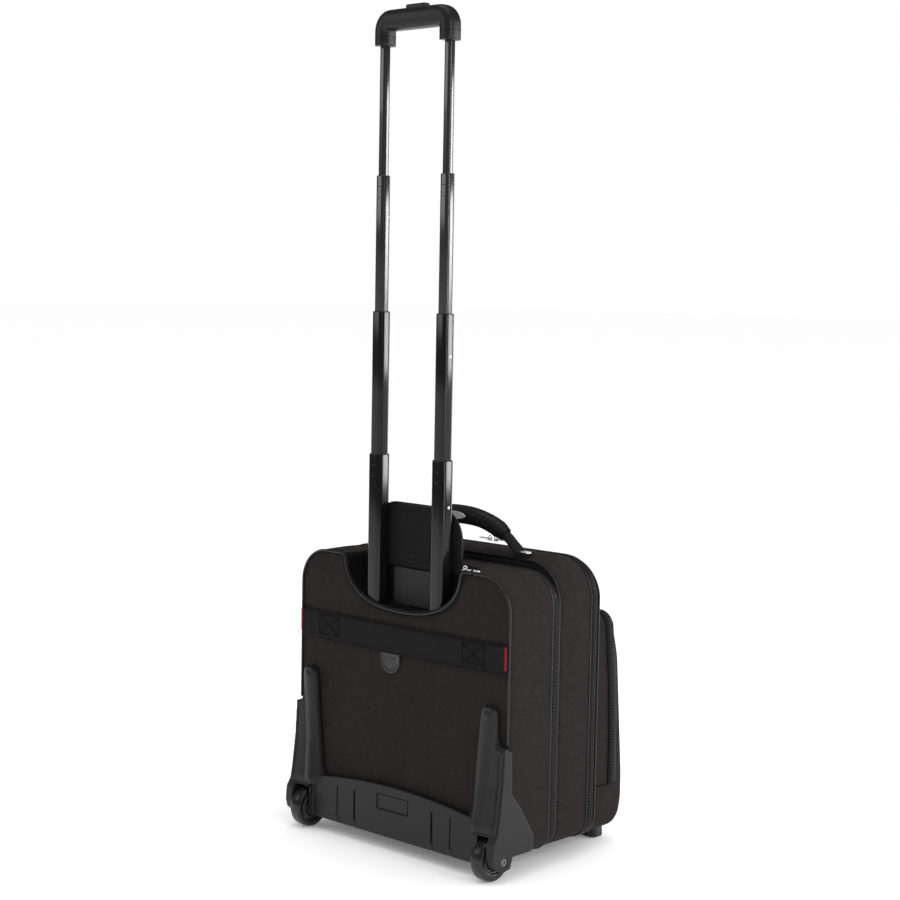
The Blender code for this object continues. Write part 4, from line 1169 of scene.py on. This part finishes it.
def front_offset(y):
    t = (FRONT_BACK_Y - y) / (FRONT_BACK_Y - ZIP_Y)
    side = 0.0012 * math.sin(math.pi * t) - 0.0020 * edge_tuck(t)
    return lambda nx, nz: side * (abs(nx) + 0.3 * max(nz, 0)) + max(0.0, nz) * crown(y)


rows = [ring(FRONT_LINE, y, front_offset(y), 0.0008)
        for y in [FRONT_BACK_Y, 0.0160, 0.0140] + spread(0.0110, -0.0540, 22) + [-0.0560, -0.0580, ZIP_Y]]
skin("front_gusset", rows, "nylon", "front_section", (0, -0.02, 0.2), closed=True,
     stands_for=("front_shell",))


def crowned_line(line, y, extra=0.0):
    """The front section's outline at depth y, with its crown, moved out by extra."""
    move = front_offset(y)
    return [(x + nx * (move(nx, nz) + extra), z + nz * (move(nx, nz) + extra), nx, nz)
            for x, z, nx, nz in line]


def flange(name, material, line_y, steps, thickness):
    """A band of cloth behind one of the front section's edges, through (moved out, depth) steps."""
    rows = [[(x, y, z) for x, z, _, _ in crowned_line(FRONT_LINE, line_y, extra)] for extra, y in steps]
    skin(name, rows, material, "front_section", (0, -0.02, 0.2), thickness, closed=True)


seam_line = [(x, 0.0174, z) for x, z, _, _ in crowned_line(FRONT_LINE, FRONT_BACK_Y)]
cord("seam_piping_front", seam_line, 0.0016, "piping", "front_section", closed=True)
flange("seam_flange_front", "nylon_dark", FRONT_BACK_Y,
       ((-0.0004, 0.0170), (-0.0012, 0.0178), (-0.0040, 0.0184), (-0.0080, 0.0186), (-0.0130, 0.0186)),
       0.0008)
flange("lid_flange", "zip_tape", ZIP_Y,
       ((-0.0012, -0.0590), (-0.0016, -0.0620), (-0.0020, -0.0640), (-0.0022, -0.0656)), 0.0006)
outline_zip("lid_zip", crowned_line(FRONT_LINE, -0.0535, 0.0010), -0.0535, 0.0, 0.0122, "front_section",
            0.0034, 0.0021)
for name, y in (("zip_piping_back", -0.0462), ("zip_piping_front", -0.0606)):
    line = crowned_line(FRONT_LINE, max(y, ZIP_Y), 0.0003)
    cord(name, [(x, y, z) for x, z, _, _ in line], 0.0013, "piping", "front_section", closed=True)


# ---------------------------------------------------------------- lid
ZIP_EDGE = crowned_line(FRONT_LINE, ZIP_Y)
LID_CENTRE_Z = 0.215


def lid_scaled(share, y):
    """The lid's outline drawn towards its centre."""
    return [(x * share, y, LID_CENTRE_Z + (z - LID_CENTRE_Z) * share)
            for x, _, z in line_path(ZIP_EDGE, y, 0.006)]


rows = [line_path(ZIP_EDGE, y, inset)
        for inset, y in ((0.0010, -0.0664), (0.0006, -0.0675), (0.0022, -0.0692), (0.006, -0.0699))]
rows += [lid_scaled(share, -0.0702 + 0.0003 * noise.noise(Vector((share * 6, 0, 0))))
         for share in (0.96, 0.91, 0.84, 0.70, 0.50, 0.30, 0.12, 0.00001)]
skin("lid_face", rows, "nylon", "lid", (0, 0, 0.2), 0.0030, closed=True, stands_for=("lid_panel",))
rows = [lid_scaled(share, -0.0662) for share in (1.0, 0.99, 0.97, 0.90, 0.70, 0.40, 0.00001)]
skin("lid_lining", rows, "grey_cloth", "lid", (0, -0.2, 0.2), 0.0004, closed=True)
cord("lid_piping", line_path(ZIP_EDGE, -0.0668, 0.0004), 0.0015, "piping", "lid", closed=True)


# ---------------------------------------------------------------- front pocket
def smoothed(points, step, reach):
    """A polyline resampled at even steps and rounded at its corners."""
    even = [p for p, _, _ in along_curve([(0, a, b) for a, b in points], step)]
    window = max(1, int(reach / step))
    result = []
    for i in range(len(even)):
        w = min(window, i, len(even) - 1 - i)
        group = even[i - w:i + w + 1]
        result.append(sum(group, Vector()) / len(group))
    return result


def wrapped(profile, back_from, back_to, half, radius, top_shrink, bulge, seed, count=46):
    """Rows that run along one side, round a vertical edge, across the front and back down the other side."""
    line = smoothed(profile, 0.0015, 0.010)
    lengths = [0.0]
    for a, b in zip(line, line[1:]):
        lengths.append(lengths[-1] + (b - a).length)
    total = lengths[-1]
    picked = [round(i * (len(line) - 1) / count) for i in range(count + 1)]
    rows = []
    for i in picked:
        t = lengths[i] / total
        front = line[i]
        before, after = line[max(0, i - 1)], line[min(len(line) - 1, i + 1)]
        run = (after - before).normalized()
        inward = Vector((0, -run.z, run.y))
        if inward.dot(Vector((0, -0.100, 0.18)) - front) < 0:
            inward = -inward
        height = back_from[1] + (back_to[1] - back_from[1]) * t
        back = Vector((0, back_from[0] if back_to[0] == back_from[0] else split_y(height), height))
        width = half
        if top_shrink:
            width -= top_shrink * (1 - math.sqrt(max(0.0, 1 - (1 - min(1.0, lengths[i] / top_shrink)) ** 2)))
        edge = min(radius, (front - back).length * 0.95 + 0.0001)
        side = []
        start = front + inward * edge
        for k in range(7):
            u = k / 7
            p = back.lerp(start, u)
            out = 0.0008 * math.sin(math.pi * u)
            side.append((width + out, p))
        for k in range(9):
            a = math.pi / 2 * k / 8
            side.append((width - edge * (1 - math.cos(a)), front + inward * edge * (1 - math.sin(a))))
        flat = width - edge
        row = [Vector((x, p.y, p.z)) for x, p in side]
        for x in spread(flat, -flat, 28)[1:-1]:
            soft = bulge * (1 - (x / flat) ** 2) * math.sin(math.pi * min(1.0, t)) ** 0.7
            fade = min(1.0, (1 - abs(x) / flat) * 6)
            soft += 0.0007 * noise.noise(Vector((x * 11 + seed, t * 5, seed))) * fade
            p = front - inward * soft
            row.append(Vector((x, p.y, p.z)))
        row += [Vector((-x, p.y, p.z)) for x, p in reversed(side)]
        rows.append(row)
    return rows


SPLIT_TOP = (-0.1045, 0.3285)
SPLIT_LOW = (-0.1185, POCKET_SPLIT_Z)


def split_y(z):
    """Depth of the pocket's zip, which bows forward between the top and the hinge."""
    t = max(0.0, min(1.0, (SPLIT_TOP[1] - z) / (SPLIT_TOP[1] - SPLIT_LOW[1])))
    return SPLIT_TOP[0] + (SPLIT_LOW[0] - SPLIT_TOP[0]) * t - 0.0050 * math.sin(math.pi * t)


door_profile = [SPLIT_TOP, (-0.115, 0.322), (-0.132, 0.298), (-0.140, 0.265), (-0.1542, 0.100),
                (-0.1545, 0.0873)]
door_rows = wrapped(door_profile, SPLIT_TOP, SPLIT_LOW, POCKET_HALF, POCKET_CORNER, POCKET_CORNER, 0.0004,
                    2.0)
piece = skin("pocket_front", door_rows, "nylon", "pocket_door", (0, -0.105, 0.18), 0.0026,
             stands_for=("pocket_flap",))
base_profile = [(-0.1545, 0.0867), (-0.1545, 0.060), (-0.149, 0.036), (-0.134, 0.0225), (-0.0708, 0.0222)]
base_rows = wrapped(base_profile, (POCKET_BACK_Y, 0.0867), (POCKET_BACK_Y, 0.0240), POCKET_HALF,
                    POCKET_CORNER, 0, 0.0002, 9.0, 30)
skin("pocket_base", base_rows, "nylon", "lid", (0, -0.105, 0.070), 0.0026,
     stands_for=("pocket_frame",))


# The pocket's edge seen from the front, up one side, over the top and down the other: (x, z, nx, nz).
corner_x, corner_z = POCKET_HALF - POCKET_CORNER, 0.3117
rising = [(POCKET_HALF, z, 1, 0)
          for z in spread(POCKET_SPLIT_Z + 0.0004, POCKET_TOP - POCKET_CORNER, 26)[:-1]]
rising += rounding(corner_x, corner_z, POCKET_CORNER, 0, 90, 9)
EDGE = rising + [(x, POCKET_TOP, 0, 1) for x in spread(corner_x, -corner_x, 26)[1:-1]]
EDGE += [(-x, z, -nx, nz) for x, z, nx, nz in reversed(rising)]
rows = []
for t in (0.0, 0.06, 0.18, 0.34, 0.50, 0.66, 0.82, 0.94, 1.0):
    row = []
    for x, z, nx, nz in EDGE:
        y = POCKET_BACK_Y + (split_y(z) - POCKET_BACK_Y) * t
        lift = 0.0073 * (1 - t) ** 1.3 * max(0.0, nz) + 0.0008 * math.sin(math.pi * t)
        row.append(Vector((x + nx * 0.0008 * math.sin(math.pi * t), y, z + lift)))
    rows.append(row)
skin("pocket_gusset", rows, "nylon", "lid", (0, -0.09, 0.2), 0.0026)
split_path = [(x + nx * 0.0020, split_y(z) - 0.0005, z + nz * 0.0020) for x, z, nx, nz in EDGE]
edge_out = [Vector((nx, 0, nz)) for _, _, nx, nz in EDGE]
tape, teeth = zip_line(split_path, edge_out, 0.0150, 0.0020, 0.0042, 0.0013)
piece = add("pocket_zip_tape", tape, "zip_tape", "lid", inside=(0, -0.11, 0.2), stands_for=("pocket_zip",))
thicken(piece, 0.0008)
add("pocket_zip_teeth", teeth, "coil", "lid")
cord("pocket_piping", [(x + nx * 0.0004, POCKET_BACK_Y - 0.0006, z + nz * 0.0073 + nz * 0.0004)
                       for x, z, nx, nz in EDGE], 0.0016, "piping", "lid")
cord("pocket_door_piping", [(x + nx * 0.0002, split_y(z) - 0.0090, z + nz * (-0.0040) + nz * 0.0002)
                            for x, z, nx, nz in EDGE], 0.0014, "piping", "pocket_door")


def strip(name, body, x_half, path):
    """A band of cloth that carries across a seam: path is its (y, z) line."""
    rows = [[(x, y, z) for x in spread(-x_half, x_half, 20)] for y, z in path]
    thicken(add(name, loft(rows), "nylon", body, inside=(0, path[0][0], 0.2), sharp=0), 0.0012)


strip("pocket_hinge_cloth", ("lid", "pocket_door", (0, -0.1545, 0.0820), (0, -0.1545, 0.0920)), 0.158,
      [(-0.1549, z) for z in spread(0.0760, 0.0980, 11)])
strip("lid_hinge_cloth", ("front_section", "lid", (0, -0.0630, 0.024), (0, -0.0692, 0.024)), 0.160,
      [(y, 0.0243) for y in spread(-0.0580, -0.0745, 11)])
strip("seam_hinge_cloth", ("rear_case", "front_section", (0, 0.0262, 0.024), (0, 0.0174, 0.024)), 0.160,
      [(y, 0.0243) for y in spread(0.0310, 0.0130, 11)])

# Front feet.
for side, s in SIDES:
    rows = []
    for grow, z in ((-0.0035, 0.0), (-0.0015, 0.0006), (-0.0004, 0.0022), (-0.0010, 0.0120),
                    (-0.0002, 0.0200), (0.0, 0.0226)):
        rows.append([(x, y, z) for x, y in rounded_rectangle(0.0320 + 2 * grow, 0.0250 + 2 * grow,
                                                                     0.0075 + grow, 8, s * 0.135, -0.134)])
    add("foot_" + side, solid(rows), "tyre", "lid", ("front_foot_" + side,), "guard_plastic", sharp=40)


# ---------------------------------------------------------------- carry handle
GRIP_HALF = 0.0870
path = [(x, HANDLE_Y, 0.4595 - 0.0185 * abs(x / 0.084) ** 2.6) for x in spread(-GRIP_HALF, GRIP_HALF, 260)]


def grip_size(t):
    """Size of the grip's section at a share t of its length: fuller in the middle, with ring grooves."""
    x = abs(-GRIP_HALF + 2 * GRIP_HALF * t)
    size = 1.0 + 0.10 * (1 - smooth_step(x / 0.060)) - 0.20 * smooth_step((x - 0.076) / 0.011)
    for groove in (0.0440, 0.0520, 0.0600, 0.0700, 0.0780):
        size -= 0.075 * max(0.0, 1 - abs(x - groove) / 0.0013)
    return size


section = [(0.0116 * squared(math.cos(a), 0.85),
            0.0118 * squared(math.sin(a), 0.85))
           for a in turns(28)]
add("handle_grip", sweep(path, section, normals=[(0, 0, 1)] * len(path), scale=grip_size), "grip",
    "carry_handle", stands_for=("carry_grip",), sharp=60)
rows = []
for y, r in ((0.0180, 1.0), (0.0212, 1.0), (0.0217, 0.94), (0.0216, 0.86), (0.0215, 0.5), (0.0215, 0.05)):
    rows.append([Vector((0.0230 * r * math.cos(a), y, 0.4592 + 0.0054 * r * math.sin(a)))
                 for a in turns(40)])
add("handle_badge", solid(rows), "badge", "carry_handle", stands_for=("carry_badge",), sharp=50)

for side, s in SIDES:
    rows = []
    for t in spread(0, 1, 18):
        x = 0.0830 + (0.1300 - 0.0830) * t
        z = 0.4380 - (0.4380 - 0.4176) * smooth_step((t - 0.02) / 0.78)
        half = 0.0080 + 0.0038 * smooth_step(t / 0.7)
        thick = 0.0058 - 0.0040 * smooth_step(t / 0.80)
        rows.append([Vector((s * x, HANDLE_Y + y, z + h)) for y, h in
                     ((-half, -thick * 0.5), (-half, thick * 0.5), (-half * 0.8, thick), (0, thick * 1.1),
                      (half * 0.8, thick), (half, thick * 0.5), (half, -thick * 0.5), (0, -thick * 0.8))])
    add("handle_web_" + side, solid(rows), "tape",
        ("front_section", "carry_handle", (s * 0.1180, HANDLE_Y, 0.4190), (s * 0.0960, HANDLE_Y, 0.4290)),
        stands_for=("carry_web_" + side,))
    dome = [(0.0, 0.4196), (0.0036, 0.4196), (0.0048, 0.4193), (0.0054, 0.4199), (0.0068, 0.4199),
            (0.0078, 0.4192), (0.0080, 0.4180), (0.0, 0.4180)]
    add("rivet_" + side, turned([(r, z) for r, z in dome], (s * 0.1245, HANDLE_Y, 0), "Z", 40), "nickel",
        "front_section", stands_for=("handle_rivet_" + side,), sharp=35)


# ---------------------------------------------------------------- zip sliders and pulls
def pull_plate(x0, x1, y, z, half):
    """A flat pull with a rounded end, a window near its hinge and a raised edge."""
    s = 1 if x1 > x0 else -1
    long = abs(x1 - x0)
    outer = ([(0.0, -half * 0.55)] + [(long * 0.35, -half * 0.75), (long - half, -half)]
             + [(long - half + half * math.cos(math.radians(a)), half * math.sin(math.radians(a)))
                for a in range(-75, 90, 15)]
             + [(long - half, half), (long * 0.35, half * 0.75), (0.0, half * 0.55)])
    count = len(outer)
    inner = [(long * 0.22 + 0.0026 * math.cos(a), half * 0.42 * math.sin(a)) for a in
             (math.radians(-125 + 360 * i / count) for i in range(count))]
    rows = []
    raised = [(a * 0.985 + 0.0001, b * 0.93) for a, b in outer]
    sunk = [(a * 0.93 + 0.0008, b * 0.80) for a, b in outer]
    for ring_points, height in ((outer, 0.0001), (outer, 0.0011), (raised, 0.0015), (sunk, 0.0012),
                                (inner, 0.0012), (inner, 0.0001)):
        rows.append([Vector((x0 + s * a, y + b, z + height)) for a, b in ring_points])
    return loft(rows, closed=True, looped=True)


def slider(x, y, z):
    """A zip slider: its body, its bridge and the hoop that the pull hangs in."""
    long, wide, high = 0.0090, 0.0062, 0.0022
    rows = []
    for grow, h in ((0.0, 0.0), (0.0, high * 0.6), (-0.0007, high), (-0.0022, high)):
        rows.append([Vector((px, py, z + h)) for px, py in rounded_rectangle(long + 2 * grow, wide + 2 * grow,
                                                                             0.0024 + grow * 0.9, 5, x, y)])
    body = solid(rows)
    loop = [(x + 0.0030 * math.cos(a), y, z + high + 0.0024 + 0.0024 * math.sin(a))
            for a in turns(20)]
    hoop = sweep(loop, round_profile(0.0008, 8), closed=True, normals=[(0, 1, 0)] * 20)
    bridge = [(x - 0.0030, y, z + high * 0.8), (x - 0.0022, y, z + high + 0.0009), (x, y, z + high + 0.0012),
              (x + 0.0022, y, z + high + 0.0009), (x + 0.0030, y, z + high * 0.8)]
    return merged([body, hoop, sweep(bridge, round_profile(0.0008, 8), normals=[(0, 0, 1)] * 5)])


PULLS = [("rear_pull", "rear_case", -0.114, -0.135, -0.1096, 0.1120, 0.4030, 0.4014)]
for name, parent, y, z in (("lid", "front_section", -0.0642, 0.4170), ("pocket", "lid", -0.0985, 0.3365)):
    for side, s in SIDES:
        PULLS.append((f"{name}_pull_{side}", parent, s * 0.005, s * 0.026, s * 0.0055, y, z, z - 0.0020))
for node, parent, x0, x1, slider_x, y, z, slider_z in PULLS:
    tab = node.replace("pull", "tab")
    add("tab_" + node, pull_plate(x0, x1, y, z, 0.0040), "nickel", tab, (node,), sharp=40)
    add("slider_" + node, slider(slider_x, y, slider_z), "nickel", parent, sharp=40)

# ---------------------------------------------------------------- inside
rows = [line_path(REAR_LINE, y, 0.0042) for y in (0.0290, 0.0400, 0.0550, 0.0745)]
skin("rear_lining", rows, "grey_cloth", "rear_case", (0, 0.05, 0.2), 0.0005, closed=True)
rows = [[(x * share, y, 0.21 + (z - 0.21) * share) for x, y, z in line_path(REAR_LINE, 0.0748, 0.0045)]
        for share in (1.0, 0.97, 0.85, 0.6, 0.3, 0.05)]
skin("divider_lining", rows, "grey_cloth", "rear_case", (0, 0.09, 0.2), 0.0005, closed=True)
rows = [ring(FRONT_LINE, y, lambda nx, nz, y=y: -0.0042 + max(0, nz) * crown(y))
        for y in (0.0140, 0.0, -0.0150, -0.0300, -0.0450, -0.0580)]
skin("front_lining", rows, "grey_cloth", "front_section", (0, -0.02, 0.2), 0.0005, closed=True)
rows = []
for z, grow in ((0.0304, -0.002), (0.0330, 0.0), (0.1000, 0.0), (0.1900, 0.0), (0.2700, 0.0),
                (0.2830, -0.0004), (0.2848, -0.0010)):
    rows.append([(x, y, z) for x, y in rounded_rectangle(0.340 + 2 * grow, 0.0200 + 2 * grow, 0.006, 6, 0,
                                                                 0.0590)])
points, faces = loft(rows, closed=True)
faces.append(tuple(range(len(rows[0]))))
piece = add("sleeve_pad", (points, faces), "grey_cloth", "rear_case", stands_for=("laptop_sleeve",),
            inside=(0, 0.059, 0.16))
thicken(piece, 0.0030)
sleeve_edge = [(x, y, 0.2846) for x, y in rounded_rectangle(0.337, 0.0170, 0.005, 6, 0, 0.0590)]
cord("sleeve_binding", sleeve_edge, 0.0018, "tape", "rear_case", closed=True)

# Hard pieces that stay as the CAD has them get their finish here.
for node, material in (("base_board", "board"), ("trolley_board", "board"), ("trolley_bezel", "guard"),
                       ("tube_bracket", "guard"), ("release_button", "grip")):
    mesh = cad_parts[node].data
    mesh.materials.clear()
    mesh.materials.append(M[material])


# ---------------------------------------------------------------- floor, light and camera
def area_light(name, place, aim, size_x, size_y, power):
    data = bpy.data.lights.new(name, "AREA")
    data.shape = "RECTANGLE"
    data.size, data.size_y = size_x, size_y
    data.energy = power
    lamp = linked(name, data)
    lamp.location = place
    lamp.rotation_euler = (Vector(aim) - Vector(place)).to_track_quat("-Z", "Y").to_euler()


floor_mesh = mesh_of("floor", ([(-40, -40, 0), (40, -40, 0), (40, 40, 0), (-40, 40, 0)], [(0, 1, 2, 3)]))
floor = linked("floor", floor_mesh)
tree, shader = start_material("paper")
paint(tree, shader, noise_at(tree, object_axes(tree)[0], 3.0), 0.93, 0.97, roughness=0.85, specular=0.1,
      emission_color=(1, 1, 1, 1), emission_strength=0.10)
floor_mesh.materials.append(M["paper"])

# White to the camera, soft white light on matt surfaces, and a dim room in glossy ones.
world = bpy.data.worlds.new("studio")
bpy.context.scene.world = world
world.use_nodes = True
tree = world.node_tree
tree.nodes.clear()
rays = tree.nodes.new("ShaderNodeLightPath")


def background(strength):
    node = tree.nodes.new("ShaderNodeBackground")
    node.inputs["Color"].default_value = (1, 1, 1, 1)
    node.inputs["Strength"].default_value = strength
    return node.outputs[0]


def chosen(ray, otherwise, where_true):
    node = tree.nodes.new("ShaderNodeMixShader")
    for socket, given in zip(node.inputs, (rays.outputs[ray], otherwise, where_true)):
        tree.links.new(given, socket)
    return node.outputs[0]


matt_or_glossy = chosen("Is Glossy Ray", background(0.98), background(0.10))
surroundings = chosen("Is Camera Ray", matt_or_glossy, background(1.0))
tree.links.new(surroundings, tree.nodes.new("ShaderNodeOutputWorld").inputs[0])

area_light("key", (-3.4, 1.6, 1.9), (0, 0.1, 0.45), 1.2, 1.2, 3)
area_light("top", (0.0, 0.3, 3.0), (0, 0.05, 0.3), 2.4, 2.4, 20)
area_light("upper_side", (-2.2, -2.2, 1.18), (-0.06, 0.1, 0.9), 0.50, 0.9, 24)
area_light("second_strip", (-2.9, 0.05, 1.30), (-0.06, 0.1, 0.7), 0.18, 1.9, 24)
area_light("front_strip", (-0.75, -2.85, 0.75), (-0.06, 0.1, 0.6), 0.22, 1.9, 20)
area_light("behind", (2.3, 2.4, 1.9), (0, 0.1, 0.9), 0.9, 1.2, 8)

# The camera stands behind the case, on its -X side, about level with the middle of the raised handle.
CAMERA_AZIMUTH = math.radians(223.3094)
CAMERA_PITCH = math.radians(5.1045)
CAMERA_ROLL = math.radians(1.044)
level = Vector((-math.sin(CAMERA_AZIMUTH), math.cos(CAMERA_AZIMUTH), 0))
ahead = level * math.cos(CAMERA_PITCH) - Vector((0, 0, 1)) * math.sin(CAMERA_PITCH)
right = ahead.cross(Vector((0, 0, 1))).normalized()
up = right.cross(ahead)
across = right * math.cos(CAMERA_ROLL) + up * math.sin(CAMERA_ROLL)
over = up * math.cos(CAMERA_ROLL) - right * math.sin(CAMERA_ROLL)
camera_data = bpy.data.cameras.new("camera")
camera_data.lens = 76.0
camera_data.sensor_width = 36.0
camera_data.clip_end = 100
camera = linked("camera", camera_data)
camera.matrix_world = Matrix(((across.x, over.x, -ahead.x, -1.803), (across.y, over.y, -ahead.y, 1.9421),
                              (across.z, over.z, -ahead.z, 0.7851), (0, 0, 0, 1)))
bpy.context.scene.camera = camera
bpy.context.scene.view_settings.view_transform = "Standard"
